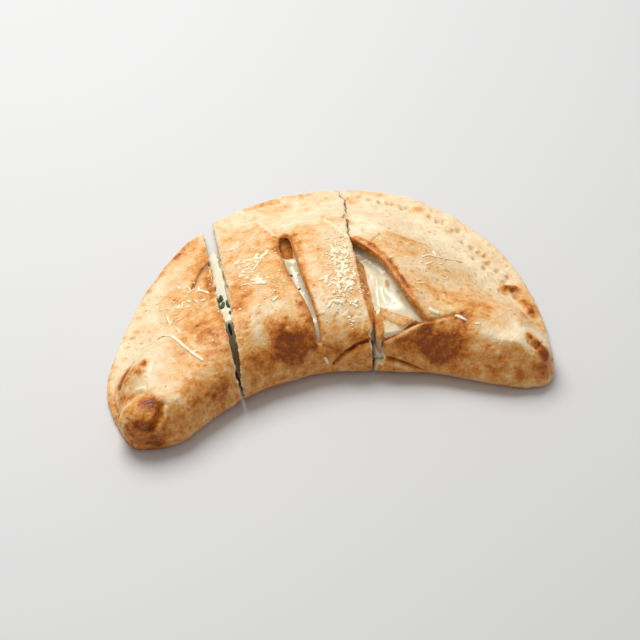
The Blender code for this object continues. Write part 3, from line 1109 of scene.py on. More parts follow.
@dataclass
class CrustSection:
    """One section of dough between its knife cuts, with its slits, marks, and browning that also carries
    painted shade.
    """

    name: str
    node: str
    span: tuple
    left: KnifeFace | None = None
    right: KnifeFace | None = None
    flank: Flank | None = None
    slits: tuple = ()
    slabs: tuple = ()
    areas: tuple = ()
    baked: tuple = ()
    marks: tuple = ()
    edge_round: float = 1.2
    flank_fillet: float = 1.6
    skin_depth: tuple = (0.35, 1.1)
    ragged_cut: float = 0.55
    # the span of Y over which painted shade darkens the walls deep in the front of a cut
    painted_shade_from: tuple = (-24.0, -36.0)
    cut_crumb: float = 0.85
    broad_relief: float = 0.45
    fine_relief: float = 0.30
    blisters: tuple = (2.6, 0.36)
    blister_rise: float = 0.8
    blister_tint: float = 0.25
    pits: tuple = (1.9, 0.55)
    pit_depth: float = 1.0
    pit_tint: float = 0.3
    flat_tint: float = 0.25
    torn_relief: float = 0.42
    bubbles: tuple = (2.8, 0.35)
    bubble_depth: float = 1.6
    base_tint: float = 0.16
    front_tint: float = 0.40
    # painted contact shade: how much the front faces near the floor are darkened
    contact_shade_tint: float = 0.22
    wall_tint: float = 0.62
    patchiness: float = 0.55
    base_band: float = 3.0
    crest: float = 36.2
    crest_press: float = 0.6
    mesh: NetMesh | None = field(default=None, init=False)
    tree: BVHTree | None = field(default=None, init=False)

    def values(self, form: DoughForm, slits: dict[str, Slit], plan: Layers, x: np.ndarray,
               y: np.ndarray, z: np.ndarray) -> np.ndarray:
        """Field of the section.

        Args:
            form: the calzone's form.
            slits: every opening, by name.
            plan: the layers at the same places.
            x: places along X.
            y: places along Y.
            z: heights.

        Returns:
            The field's value at each point.
        """
        skin = form.skin(x, y, z, plan)
        body = np.maximum(skin, -form.hollow(z, plan))
        for name in self.slits:
            slit = slits[name]
            opening = np.maximum(plan[name] + slit.lean * (plan["crown"] - z), slit.floor - z)
            body = soft_cut(body, -opening, slit.lip)
        if self.left:
            body = soft_cut(body, self.left.x_at(y, z) - x, self.edge_round)
        if self.right:
            body = soft_cut(body, x - self.right.x_at(y, z), self.edge_round)
        if self.flank:
            body = soft_union(body, np.maximum(self.flank.values(x, y, z), skin), self.flank_fillet)
        for slab in self.slabs:
            body = soft_union(body, slab.values(x, y, z), slab.fillet)
        return body

    def shape(self, form: DoughForm, slits: dict[str, Slit], plan_map: PlanMap, noise: Noise) -> Layers:
        """Builds the section's mesh and what its material reads.

        Args:
            form: the calzone's form.
            slits: every opening, by name.
            plan_map: the plan layers.
            noise: the seeded noise.

        Returns:
            The browning with its painted shade, and the crumb share, at each point, by name.
        """
        step = plan_map.step
        low, high = np.searchsorted(plan_map.x, self.span)
        x = plan_map.x[low:high, None, None].astype(np.float32)
        y = plan_map.y[None, :, None].astype(np.float32)
        z = np.arange(-2 * step, 39.0, step, dtype=np.float32)[None, None, :]
        grid = self.values(form, slits, plan_map.columns(low, high), x, y, z)
        start = np.array([x[0, 0, 0], y[0, 0, 0], z[0, 0, 0]])
        net = surface_net(grid, start, step)
        plan = plan_map.at(net.points)
        height = net.points[:, 2]
        depth = -form.skin(*net.points.T, plan)
        hidden = (depth > 3.0) & (form.hollow(height, plan) > -0.6)
        net = net.coarsened(hidden | (height < 0.3), 3)
        self.mesh = net
        return self.dress(form, plan_map, noise)

    def dress(self, form: DoughForm, plan_map: PlanMap, noise: Noise) -> Layers:
        """Moves the mesh's points for its relief and works out its browning, with painted shade in the
        front of the left cut.

        Args:
            form: the calzone's form.
            plan_map: the plan layers.
            noise: the seeded noise.

        Returns:
            The browning with its painted shade, and the crumb share, at each point, by name.
        """
        points, normals = self.mesh.points, self.mesh.normals()
        plan = plan_map.at(points)
        depth = -form.skin(*points.T, plan)
        inner = ramp(depth, *self.skin_depth)
        crumb = inner
        baked_wall = self.baked_wall(points, plan)
        rise, browning_and_shade = self.skin_marks(points, normals, noise)
        blister = noise.tops(points + 11, *self.blisters)
        pit = noise.tops(points + 31, *self.pits)
        rise += self.blister_rise * blister - self.pit_depth * pit
        for face in filter(None, (self.left, self.right)):
            gap = np.abs(points[:, 0] - face.x_at(points[:, 1], points[:, 2]))
            ragged = noise.fractal(points + 170, 2.2, 2)
            points[:, 0] += self.ragged_cut * ragged * ramp(gap, 2.2, 0.3)
            crumb = np.maximum(crumb, self.cut_crumb * ramp(gap + 0.9 * ragged, 0.75, 0.15))
            # painted shade: deep in the narrow front of the left cut, the cut walls lose their pale crumb
            # and are browned dark where shade falls in the gap
            if face.painted_shade_front:
                dark = ramp(gap, 2.5, 1.0) * ramp(depth, 0.6, 2.0) * ramp(points[:, 1], *self.painted_shade_from)
                crumb = crumb * (1 - 0.95 * dark)
                browning_and_shade += dark
        whole = np.ones(len(points))
        for slab in self.slabs:
            own, upper = slab.shares(points)
            browning_and_shade = browning_and_shade * (1 - own) + own * (slab.tint + 0.12 * noise.fractal(points, 3.5))
            crumb = crumb * (1 - own) + own * (1 - upper) * slab.pale
            whole = whole * (1 - own)
            rise = rise * (1 - own)
        baked_wall = baked_wall * whole
        bubbles = noise.tops(points + 5, *self.bubbles)
        torn = self.torn_relief * noise.fractal(points + 70, 2.6, 3) - self.bubble_depth * bubbles
        deep = inner * whole
        rise = rise * (1 - deep) + torn * deep * (1 - 0.6 * baked_wall)
        flat = ramp(-normals[:, 2], 0.5, 0.9) * (points[:, 2] < self.base_band)
        points += normals * (rise * (1 - flat))[:, None]
        above = np.maximum(points[:, 2] - self.crest, 0)
        points[:, 2] = np.maximum(points[:, 2] - self.crest_press * above, 0)
        wall_tint = self.wall_tint + 0.08 * noise.at(points, 3.0)
        browning_and_shade = browning_and_shade * (1 - baked_wall) + baked_wall * wall_tint
        browning_and_shade += self.flat_tint * flat + self.pit_tint * pit + self.blister_tint * blister
        crumb = crumb * (1 - baked_wall) * (1 - flat)
        return {"browning_and_shade": np.clip(browning_and_shade, 0, 1), "crumb": crumb}

    def baked_wall(self, points: np.ndarray, plan: Layers) -> np.ndarray:
        """Tells how far each point belongs to the baked wall of an opening.

        Args:
            points: the surface's points.
            plan: the plan layers there.

        Returns:
            The shares, from 0 to 1.
        """
        share = np.zeros(len(points))
        for name in self.slits:
            share = np.maximum(share, ramp(plan[name], 3.0, 1.2))
        share = share * ramp(points[:, 2], 14, 20)
        if self.flank:
            share = np.maximum(share, self.flank.share(points))
        return share

    def skin_marks(self, points: np.ndarray, normals: np.ndarray, noise: Noise) -> tuple:
        """Adds up the skin's marks, its uneven relief and its browning, with painted contact shade along
        the foot of the front.

        Args:
            points: the surface's points.
            normals: its directions.
            noise: the seeded noise.

        Returns:
            The rise in millimetres and the browning, painted shade included, at each point.
        """
        rise = np.zeros(len(points))
        browning_and_shade = self.base_tint + 0.05 * noise.fractal(points, 22.0)
        browning_and_shade += 0.10 * noise.fractal(points + 90, 6.0)
        facing = ramp(-normals[:, 1], 0.35, 0.85) * (0.6 + 0.4 * ramp(points[:, 2], 2, 9))
        # painted contact shade: front-facing skin within 4 mm of the floor is browned darker where shade
        # falls at the foot
        foot = ramp(points[:, 2], 4, 0) * ramp(-normals[:, 1], 0, 0.5)
        browning_and_shade += self.front_tint * facing + self.contact_shade_tint * foot
        patchy = 1 + self.patchiness * noise.fractal(points + 260, 5.0, 3)
        for mark in self.areas + self.baked + self.marks:
            share = mark.share(points, normals, noise)
            rise += mark.rise * share
            browning_and_shade += mark.tint * share * patchy
        browning_and_shade = browning_and_shade - 0.3 * np.maximum(browning_and_shade - 0.9, 0)
        broad = self.broad_relief * noise.fractal(points + 40, 16.0, 2)
        rise += broad + self.fine_relief * noise.fractal(points, 5.0, 3)
        return rise, browning_and_shade

    def build(self, form: DoughForm, slits: dict[str, Slit], plan_map: PlanMap, noise: Noise,
              finish: bpy.types.Material) -> bpy.types.Object:
        """Makes the piece.

        Args:
            form: the calzone's form.
            slits: every opening, by name.
            plan_map: the plan layers.
            noise: the seeded noise.
            finish: the crust's material.

        Returns:
            The new object.
        """
        looks = self.shape(form, slits, plan_map, noise)
        made = make_piece(self.name, self.mesh.points, self.mesh.faces, finish, looks)
        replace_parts(made, self.node)
        self.tree = BVHTree.FromPolygons(self.mesh.points.tolist(), self.mesh.faces.tolist())
        return made


# Melted cheese


@dataclass
class CheeseBody:
    """The filling of one section, bumpy where it shows."""

    name: str
    node: str
    span: tuple
    left: KnifeFace | None
    right: KnifeFace | None
    lumps: tuple = ()
    stains_and_shade: tuple = ()
    grain: tuple = (0.0, -1.0)
    overlap: float = 0.4
    headroom: float = 0.6
    stringy: float = 0.5
    strand_spacing: float = 3.6
    uneven: float = 0.4
    front_drop: float = 0.0
    drop_across: tuple = (-44.0, -49.0)
    drop_along: tuple = (-27.0, -44.0)
    bulge: float = 0.0
    bulge_across: tuple = (-47.0, -49.8)
    bulge_along: tuple = (-30.0, -2.0)
    base: float = 2.0
    tree: BVHTree | None = field(default=None, init=False)

    def build(self, form: DoughForm, plan_map: PlanMap, noise: Noise,
              finish: bpy.types.Material) -> bpy.types.Object:
        """Makes the piece.

        Args:
            form: the calzone's form.
            plan_map: the plan layers.
            noise: the seeded noise.
            finish: the cheese's material.

        Returns:
            The new object.
        """
        step = plan_map.step
        low, high = np.searchsorted(plan_map.x, self.span)
        plan = plan_map.columns(low, high)
        x = plan_map.x[low:high, None, None]
        y = plan_map.y[None, :, None]
        z = np.arange(self.base, 38.0, step)[None, None, :]
        top = self.top(form, x, y, noise) - (form.crown_height - plan["crown"])
        pulled = self.bulge * ramp(x, *self.bulge_across) * ramp(y, *self.bulge_along)
        body = form.dome(z, plan) + form.top_crust - self.overlap - pulled
        body = np.maximum(body, form.base_crust - self.overlap - pulled - z)
        body = soft_cut(body, z - (top + 0.7 * pulled), 2.0)
        if self.left:
            body = soft_cut(body, self.left.x_at(y, z) - x, 2.5)
        if self.right:
            body = soft_cut(body, x - self.right.x_at(y, z), 1.5)
        start = np.array([plan_map.x[low], plan_map.y[0], self.base])
        net = surface_net(body, start, step)
        depth = -form.dome(net.points[:, 2], plan_map.at(net.points)) - form.top_crust + self.overlap
        net = net.coarsened(np.abs(depth) < 0.3, 3)
        points, normals = net.points, net.normals()
        shown = ramp(np.abs(normals[:, 0]), 0.3, 0.7)
        points += normals * (0.9 * shown * noise.fractal(points + 55, 5.0, 2))[:, None]
        # browner tone from the listed marks: toasted bits, and painted shade in the front of the left cut
        browner_tone = sum(tinted_mark.tint * tinted_mark.share(points, normals, noise) for tinted_mark in self.stains_and_shade)
        looks = {"browner_tone": browner_tone + np.zeros(len(points))}
        made = make_piece(self.name, points, net.faces, finish, looks)
        self.tree = BVHTree.FromPolygons(points.tolist(), net.faces.tolist())
        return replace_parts(made, self.node)

    def top(self, form: DoughForm, x: np.ndarray, y: np.ndarray, noise: Noise) -> np.ndarray:
        """How high the filling stands under the crown: lumpy, and drawn into strands along its grain.

        Args:
            form: the calzone's form.
            x: the grid's places along X, on its first axis.
            y: the grid's places along Y, on its second axis.
            noise: the seeded noise.

        Returns:
            The heights, shaped to meet a column of heights.
        """
        at = np.stack(np.broadcast_arrays(x[..., 0], y[..., 0]), axis=-1).reshape(-1, 2)
        top = np.full(len(at), form.crown_height - form.top_crust - form.filling_sag - self.headroom)
        for lump in self.lumps:
            top += lump.rise * np.exp(-((distance_to(np.array(lump.line), at) / lump.reach) ** 2))
        way = np.array(self.grain)
        level = np.zeros(len(at))
        strand = np.column_stack([at @ way / 4, at @ np.array([-way[1], way[0]]), level])
        top += self.stringy * noise.fractal(strand + 300, self.strand_spacing, 2)
        top += self.uneven * noise.fractal(np.column_stack([at, level]) + 300, 7.0, 2)
        if self.front_drop:
            top -= self.front_drop * ramp(at[:, 0], *self.drop_across) * ramp(at[:, 1], *self.drop_along)
        return top.reshape(x.shape[0], y.shape[1], 1)


# Grated cheese, crumbs and spinach


@dataclass(frozen=True)
class Shred:
    """One shred of grated cheese: the line that it lies along and its width."""

    line: tuple
    width: float = 1.0


@dataclass(frozen=True)
class GratedCheese:
    """Every shred, laid on the crust, with many short ones on the middle strip."""

    shreds: tuple
    seed: int = 19
    scattered: tuple = (
        (46, (13.0, -6.0), (3.2, 10.0)),
        (22, (9.0, -22.0), (5.0, 9.0)),
        (16, (-34.0, 0.0), (6.0, 10.0)),
        (8, (-66.0, 2.0), (7.0, 8.0)),
    )
    half_length: tuple = (0.40, 0.45)
    bend: float = 0.18
    widths: tuple = (1.0, 3.0)
    sides: int = 6
    thickness: float = 0.26
    widening: float = 0.12
    settling: int = 6

    def build(self, sections: list[CrustSection], noise: Noise,
              finish: bpy.types.Material) -> bpy.types.Object:
        """Makes the piece.

        Args:
            sections: the dough that it lies on.
            noise: the seeded noise.
            finish: the shreds' material.

        Returns:
            The new object.
        """
        points, faces, count = [], [], 0
        for shred in [*self.shreds, *self.short_ones()]:
            body, skin = self.rod(shred, sections, noise)
            points.append(body)
            faces.append(skin + count)
            count += len(body)
        return make_piece("grated_cheese", np.vstack(points), np.vstack(faces), finish)

    def short_ones(self) -> list[Shred]:
        """Draws the short shreds about each place where they lie thick.

        Returns:
            The shreds, in the order in which they were drawn.
        """
        draw = np.random.default_rng(self.seed)
        short = []
        for count, centre, reach in self.scattered:
            for _ in range(count):
                middle = np.array(centre) + draw.uniform(-1.5, 1.5, 2) * reach
                turn = draw.uniform(0, math.pi)
                half = draw.lognormal(*self.half_length) * np.array([math.cos(turn), math.sin(turn)])
                bend = draw.normal(0, self.bend, 2) * np.abs(half).sum()
                width = draw.uniform(*self.widths)
                line = (middle - half, middle + bend, middle + half)
                if all(STRIP_TOP[0] < x < STRIP_TOP[1] or x < LEFT_OF_SLIT for x, _ in line):
                    short.append(Shred(tuple(map(tuple, line)), width))
        return short

    def rod(self, shred: Shred, sections: list[CrustSection], noise: Noise) -> tuple:
        """Sweeps one shred.

        Args:
            shred: its line and width.
            sections: the dough that it lies on.
            noise: the seeded noise.

        Returns:
            Its points and its faces.
        """
        line = smooth_line(shred.line, 4)
        where, up = zip(*(resting_place(stop, sections) for stop in line))
        where, up = np.array(where), np.array(up)
        for _ in range(self.settling):
            where[1:-1, 2] = np.maximum(where[1:-1, 2], (where[:-2, 2] + where[2:, 2]) / 2)
        along = np.gradient(where, axis=0)
        side = np.cross(along, up)
        side /= np.linalg.norm(side, axis=1, keepdims=True)
        count = len(where)
        share = np.linspace(0, 1, count)
        taper = np.minimum(1, 0.55 + 4 * np.minimum(share, 1 - share))
        uneven = 1 + 0.25 * noise.at(where, 2.0)
        half = shred.width / 2 * taper * uneven
        lift = (self.thickness + self.widening * shred.width) * taper
        rings = []
        for angle in np.arange(self.sides) / self.sides * 2 * math.pi + 0.5:
            aside = side * (half * math.cos(angle))[:, None]
            rings.append(where + aside + up * (lift * (math.sin(angle) + 0.1))[:, None])
        body = np.stack(rings, axis=1).reshape(-1, 3)
        faces = []
        for n, k in itertools.product(range(count - 1), range(self.sides)):
            a, b = n * self.sides + k, n * self.sides + (k + 1) % self.sides
            faces += [(a, b, b + self.sides), (a, b + self.sides, a + self.sides)]
        for first, turn in ((0, 1), ((count - 1) * self.sides, -1)):
            for k in range(1, self.sides - 1):
                faces.append((first, first + k + 1, first + k)[::turn])
        return body, np.array(faces)


@dataclass(frozen=True)
class Spinach:
    """Cooked spinach leaves half sunk in the cheese of the left cut."""

    leaves: tuple = (
        ((-52.6, -11.0), (1.8, 3.0), 0.25),
        ((-52.2, -16.4), (1.7, 3.0), -0.25),
        ((-49.4, -17.0), (1.1, 3.6), 0.15),
        ((-49.0, -23.4), (0.8, 2.0), 0.1),
        ((-50.4, -31.5), (0.9, 2.4), 0.2),
        ((-13.2, 1.2), (1.1, 0.5), -0.4),
        ((-10.6, -9.6), (0.8, 0.6), 0.5),
    )
    rows: int = 9
    lift: float = 0.8
    sink: float = 1.2
    wavy_edge: float = 0.35
    crumple: float = 0.5
    seed: int = 23

    def build(self, cheese: tuple, finish: bpy.types.Material) -> bpy.types.Object:
        """Makes the piece.

        Args:
            cheese: the filling that the leaves lie in.
            finish: the leaves' material.

        Returns:
            The new object.
        """
        noise = Noise(self.seed)
        points, faces = [], []
        grid = np.linspace(-1, 1, self.rows)
        across, along = (axis.ravel() for axis in np.meshgrid(grid, grid, indexing="ij"))
        rim = np.maximum(np.abs(across), np.abs(along)) / np.maximum(np.hypot(across, along), 1e-6)
        corner = np.arange(self.rows * self.rows).reshape(self.rows, self.rows)
        near, far = corner[:-1], corner[1:]
        quads = np.stack([near[:, :-1], far[:, :-1], far[:, 1:], near[:, 1:]], -1).reshape(-1, 4)
        rims = np.concatenate([corner[:, 0], corner[-1, 1:], corner[-2::-1, -1], corner[0, -2:0:-1]])
        after = np.roll(rims, -1)
        for centre, (wide, long), turn in self.leaves:
            x, y = across * rim * wide, along * rim * long
            flat = np.column_stack(
                [x * math.cos(turn) - y * math.sin(turn), x * math.sin(turn) + y * math.cos(turn)]
            ) + centre
            flat += self.wavy_edge * np.column_stack(
                [noise.at(np.column_stack([flat, x + shift]), 1.6) for shift in (0, 40)]
            )
            rest = [resting_place(tuple(place), cheese) for place in flat]
            found = [place[0][2] for place in rest if place]
            height = np.array([place[0][2] if place else np.median(found) for place in rest])
            edge = np.maximum(np.abs(across), np.abs(along))
            crumple = self.crumple * noise.fractal(np.column_stack([flat, x]), 1.5, 2)
            upper = np.column_stack([flat, height + crumple + self.lift * (1 - 1.7 * edge**4)])
            lower = np.column_stack([flat, height - self.sink])
            start = sum(len(part) for part in points)
            skirt = np.stack([rims, rims + len(upper), after + len(upper), after], 1)
            points += [upper, lower]
            faces += [quads + start, quads[:, ::-1] + start + len(upper), skirt + start]
        return make_piece("spinach", np.vstack(points), np.vstack(faces), finish)


def resting_place(place: np.ndarray, bodies: list[CrustSection] | tuple) -> tuple | None:
    """Finds the surface of the dough or of the cheese.

    Args:
        place: a place in plan, or in space for a steep face.
        bodies: the pieces that may be there.

    Returns:
        The point on the surface and its direction, or nothing beside the pieces.
    """
    found = []
    for body in bodies:
        if len(place) == 2:
            hit = body.tree.ray_cast(Vector((*place, 60.0)), Vector((0, 0, -1)))
            rank = -hit[0].z if hit[0] else None
        else:
            hit = body.tree.find_nearest(Vector(place))
            rank = hit[3]
        if rank is not None:
            found.append((rank, tuple(hit[0]), tuple(hit[1])))
    return min(found)[1:] if found else None


@dataclass(frozen=True)
class Crumbs:
    """Tiny bits of grated cheese, thickest on the middle strip."""

    seed: int = 7
    count: int = 580
    spots: tuple = (
        (0.55, (12.0, -8.0), (4.5, 15.0)),
        (0.15, (-32.0, 0.0), (9.0, 16.0)),
        (0.08, (-74.0, 4.0), (9.0, 10.0)),
        (0.07, (60.0, -10.0), (22.0, 18.0)),
        (0.10, (-30.0, -30.0), (60.0, 26.0)),
    )
    length: tuple = (-0.40, 0.50)
    width: tuple = (-0.65, 0.40)
    thickness: float = 0.22
    steepest: float = 0.25
    lift: float = 0.12

    def build(self, sections: list[CrustSection], finish: bpy.types.Material) -> bpy.types.Object:
        """Makes the piece.

        Args:
            sections: the dough that they lie on.
            finish: their material.

        Returns:
            The new object.
        """
        draw = np.random.default_rng(self.seed)
        shape = np.array([(x, y, z) for x, y, z in itertools.product((-1, 1), repeat=3)], float)
        box = np.array(
            [(0, 1, 3), (0, 3, 2), (4, 6, 7), (4, 7, 5), (0, 4, 5), (0, 5, 1), (2, 3, 7), (2, 7, 6),
             (0, 2, 6), (0, 6, 4), (1, 5, 7), (1, 7, 3)]
        )
        points, faces = [], []
        for share, centre, reach in self.spots:
            for _ in range(int(share * self.count)):
                place = np.array(centre) + draw.normal(size=2) * reach
                size = np.array([draw.lognormal(*self.length), draw.lognormal(*self.width), self.thickness])
                turn = draw.uniform(0, math.pi)
                jitter = draw.uniform(0.55, 1.0, (8, 3))
                rest = None if beyond_edge(place) else resting_place(place, sections)
                if rest is None or rest[1][2] < self.steepest:
                    continue
                where, up = np.array(rest[0]), np.array(rest[1])
                ahead = np.array([math.cos(turn), math.sin(turn), 0])
                side = np.cross(up, ahead)
                side /= np.linalg.norm(side)
                body = shape * jitter * size / 1.2
                basis = np.stack([np.cross(side, up), side, up])
                faces.append(box + 8 * len(points))
                points.append(where + self.lift * up + body @ basis)
        return make_piece("cheese_crumbs", np.vstack(points), np.vstack(faces), finish)


def beyond_edge(place: np.ndarray, margin: float = 4.0) -> bool:
    """Whether a place in plan lies outside the calzone or within a margin of its edge."""
    outline = smooth_line(RIM_LINE + FOLD_LINE, 4, closed=True)
    return bool(signed_distance(outline, place[None])[0] > -margin)


# Stage


@dataclass(frozen=True)
class Stage:
    """A pale floor, soft light from behind and the camera."""

    camera_place: tuple = (-0.1223, -0.7425, 0.7360)
    camera_way: tuple = (0.1173, 0.7009, -0.7035)
    lens: float = 110.0
    floor_size: float = 3.0
    floor_drop: float = 0.00005
    floor_colour: tuple = (0.66, 0.66, 0.66)
    key_place: tuple = (-0.20, 0.55, 1.05)
    key_size: float = 0.75
    key_power: float = 13.5
    sky_colour: tuple = (1.0, 0.99, 0.98, 1.0)
    sky_strength: float = 0.42

    def build(self) -> None:
        """Makes the floor, the lights and the camera."""
        scene = bpy.context.scene
        scene.view_settings.view_transform = "Standard"
        bpy.ops.mesh.primitive_plane_add(size=self.floor_size, location=(0, 0, -self.floor_drop))
        floor = bpy.context.object
        floor.name = "floor"
        kit = Shading("pale_floor")
        kit.set(Roughness=0.6)
        darker = tuple(0.97 * c for c in self.floor_colour)
        shade = kit.mix(kit.noise(400.0, 1.0), self.floor_colour, darker)
        kit.link(shade, kit.shader.inputs["Base Color"])
        floor.data.materials.append(kit.material)
        world = bpy.data.worlds.new("sky")
        world.use_nodes = True
        sky = world.node_tree.nodes["Background"]
        sky.inputs["Color"].default_value = self.sky_colour
        sky.inputs["Strength"].default_value = self.sky_strength
        scene.world = world
        key = bpy.data.lights.new("key", "AREA")
        key.size = self.key_size
        key.energy = self.key_power
        lamp = bpy.data.objects.new("key", key)
        lamp.location = self.key_place
        lamp.rotation_euler = Vector(self.key_place).to_track_quat("Z", "Y").to_euler()
        scene.collection.objects.link(lamp)
        camera = bpy.data.objects.new("camera", bpy.data.cameras.new("camera"))
        camera.data.lens = self.lens
        camera.location = self.camera_place
        camera.rotation_euler = Vector(self.camera_way).to_track_quat("-Z", "Y").to_euler()
        scene.collection.objects.link(camera)
        scene.camera = camera


STRIP_TOP = (-6.0, 18.8)
LEFT_OF_SLIT = -20.0
SLITS = {
    "end_slit": Slit(END_SLIT, 8.5, lip=2.0),
    "middle_slit": Slit(MIDDLE_SLIT, 15.0, lip=4.5),
    "open_slit": Slit(OPEN_SLIT, 15.0, lip=3.5),
    "broken_corner": Slit(BROKEN_CORNER, 10.5, lip=1.5),
}

LEFT_CUT_OUTER = (
    (-52.7, 98.8), (-53.5, 28.8), (-54.4, -21.2), (-53.3, -33.0), (-52.1, -53.2), (-48.8, -101.2),
)
LEFT_CUT_INNER = (
    (-46.2, 98.8), (-47.0, 28.8), (-47.9, -20.0), (-49.1, -33.0), (-49.8, -53.2), (-46.9, -101.2),
)
RIGHT_CUT = (
    (29.0, 98.8), (28.6, 86.0), (27.4, 81.5), (29.2, 77.0), (28.0, 71.0), (27.9, 66.0), (25.8, 59.0),
    (26.2, 54.0), (22.6, 44.0), (20.8, 40.6), (23.2, 37.4), (22.0, 31.0), (21.6, 24.9), (20.3, 18.4),
)
RIGHT_CUT_INNER = (
    *((x - 0.45, y) for x, y in RIGHT_CUT), (20.0, 11.8), (19.0, -26.2), (20.2, -46.2), (19.2, -101.2),
)
RIGHT_CUT_OUTER = (
    *((x + 0.45, y) for x, y in RIGHT_CUT), (20.8, 11.8), (20.5, -26.2), (21.4, -46.2), (22.2, -61.2),
    (22.2, -101.2),
)
PULL_FACE = (
    (-46.6, 98.8), (-47.0, 68.0), (-50.5, 60.0), (-53.4, 46.0), (-54.2, -21.2), (-52.4, -36.0),
    (-50.8, -46.2), (-48.9, -54.2), (-46.5, -101.2),
)

STRIP_ONE = (
    (-60.0, 66.0), (-35.7, 67.0), (-24.1, 63.2), (-21.6, 51.7), (-18.5, 29.0), (-17.0, 5.0),
    (-12.0, -22.0), (-7.5, -42.0), (-14.0, -52.0), (-60.0, -60.0),
)
STRIP_TWO = (
    (-13.2, 30.7), (-4.9, 36.0), (1.8, 39.2), (10.9, 37.0), (14.0, 27.8), (18.6, 18.8), (30.0, 8.0),
    (30.0, -47.0), (19.0, -50.8), (6.3, -51.2), (-4.5, -49.0), (-6.5, -44.0), (-8.0, -20.0), (-10.5, 8.0),
)
RIGHT_PLATEAU = (
    (20.0, 14.0), (30.0, 19.0), (42.1, 19.1), (56.4, 15.7), (69.0, 7.3), (80.0, 5.0), (84.0, -5.0),
    (81.5, -27.0), (74.0, -44.0), (64.0, -47.5), (47.0, -47.5), (41.0, -30.0), (35.0, -7.0), (28.0, 3.0),
)


SHREDS = tuple(Shred(tuple(line), width) for width, *line in (
    (1.2, (-93.5, -25.5), (-89.9, -26), (-85.3, -24.4), (-81.2, -28.4)),
    (2.1, (-81.8, -27.5), (-77.9, -40.4), (-72.4, -50)),
    (1.8, (-73.4, -48.4), (-70, -53.4), (-67.1, -57.6)),
    (1.3, (-80.7, -2.8), (-79.9, -12.6)),
    (1.2, (-78.1, -8.5), (-80.4, -14.2)),
    (1.2, (-77, -11.4), (-73.6, -11.9)),
    (1.7, (-77, -21), (-76, -31)),
    (1.6, (-85.5, -15.5), (-83.4, -11.7)),
    (1.6, (-62.3, 7.7), (-57.4, -1.3)),
    (1.2, (-67, 15), (-66, 11)),
    (1.2, (-72, 3), (-70, 2)),
    (1.4, (-65, 0), (-64, -3)),
    (1.3, (-63, -3), (-60, -5.5)),
    (1.2, (-63, 37), (-65, 36)),
    (1.2, (-68, 32), (-68, 30)),
    (1.2, (-44.8, 36.4), (-41, 35.4), (-37.6, 37.4)),
    (1.2, (-37.4, 37), (-36.4, 40.5), (-36.3, 42)),
    (2.2, (-42, 35), (-39.4, 32.8), (-36.8, 34)),
    (1.3, (-39, 12.5), (-36, 11.5)),
    (1.5, (-33.6, 0.4), (-31, 4), (-29.5, 8)),
    (1.5, (-39, 4), (-34, 3)),
    (1.4, (-37, 0), (-33, -1)),
    (1.2, (-38, 7), (-34, 8)),
    (3.4, (-34, -8), (-31, -12), (-28.6, -14)),
    (2.2, (-35.5, -11), (-31, -13.5)),
    (1.2, (-41, -9), (-37, -10)),
    (1.6, (-27.6, -27.7), (-24, -24)),
    (1.4, (-1.6, -15.4), (4.8, -15.1)),
    (2.0, (9, -2), (13.4, -4), (16, -3)),
    (1.7, (7.7, -20), (8, -28.3)),
    (1.5, (15, -18), (10, -27)),
    (2.6, (14, -5), (11, -13)),
    (1.6, (4, -18), (9, -22)),
    (1.6, (13, 9), (15.6, 1)),
    (1.5, (0.4, -34.3), (3, -31)),
    (1.6, (-4.4, -52.6, 16.2), (-3.4, -53, 14), (-2.8, -53, 12)),
    (1.3, (55.9, -2.3), (60, 1.6), (65.4, 3), (74, 5.4), (82, 9.2)),
    (1.2, (64.9, 9.4), (65.6, 3.4)),
    (1.4, (57.3, -7.8), (62.1, -3.7)),
    (1.3, (66, -3), (68, -2.4)),
    (1.3, (48.7, -24.6), (53.1, -24.5)),
    (1.0, (49, -22.4), (52, -22)),
    (2.8, (51.6, -42.6), (54, -44.6), (57, -45.6)),
    (1.6, (64.4, -47.2), (69.6, -52.6)),
    (1.6, (73, -55), (76.2, -55.4)),
    (1.2, (49.4, 8.7), (52.8, 8.9)),
    (1.3, (38, -5.4), (40, -5)),
))


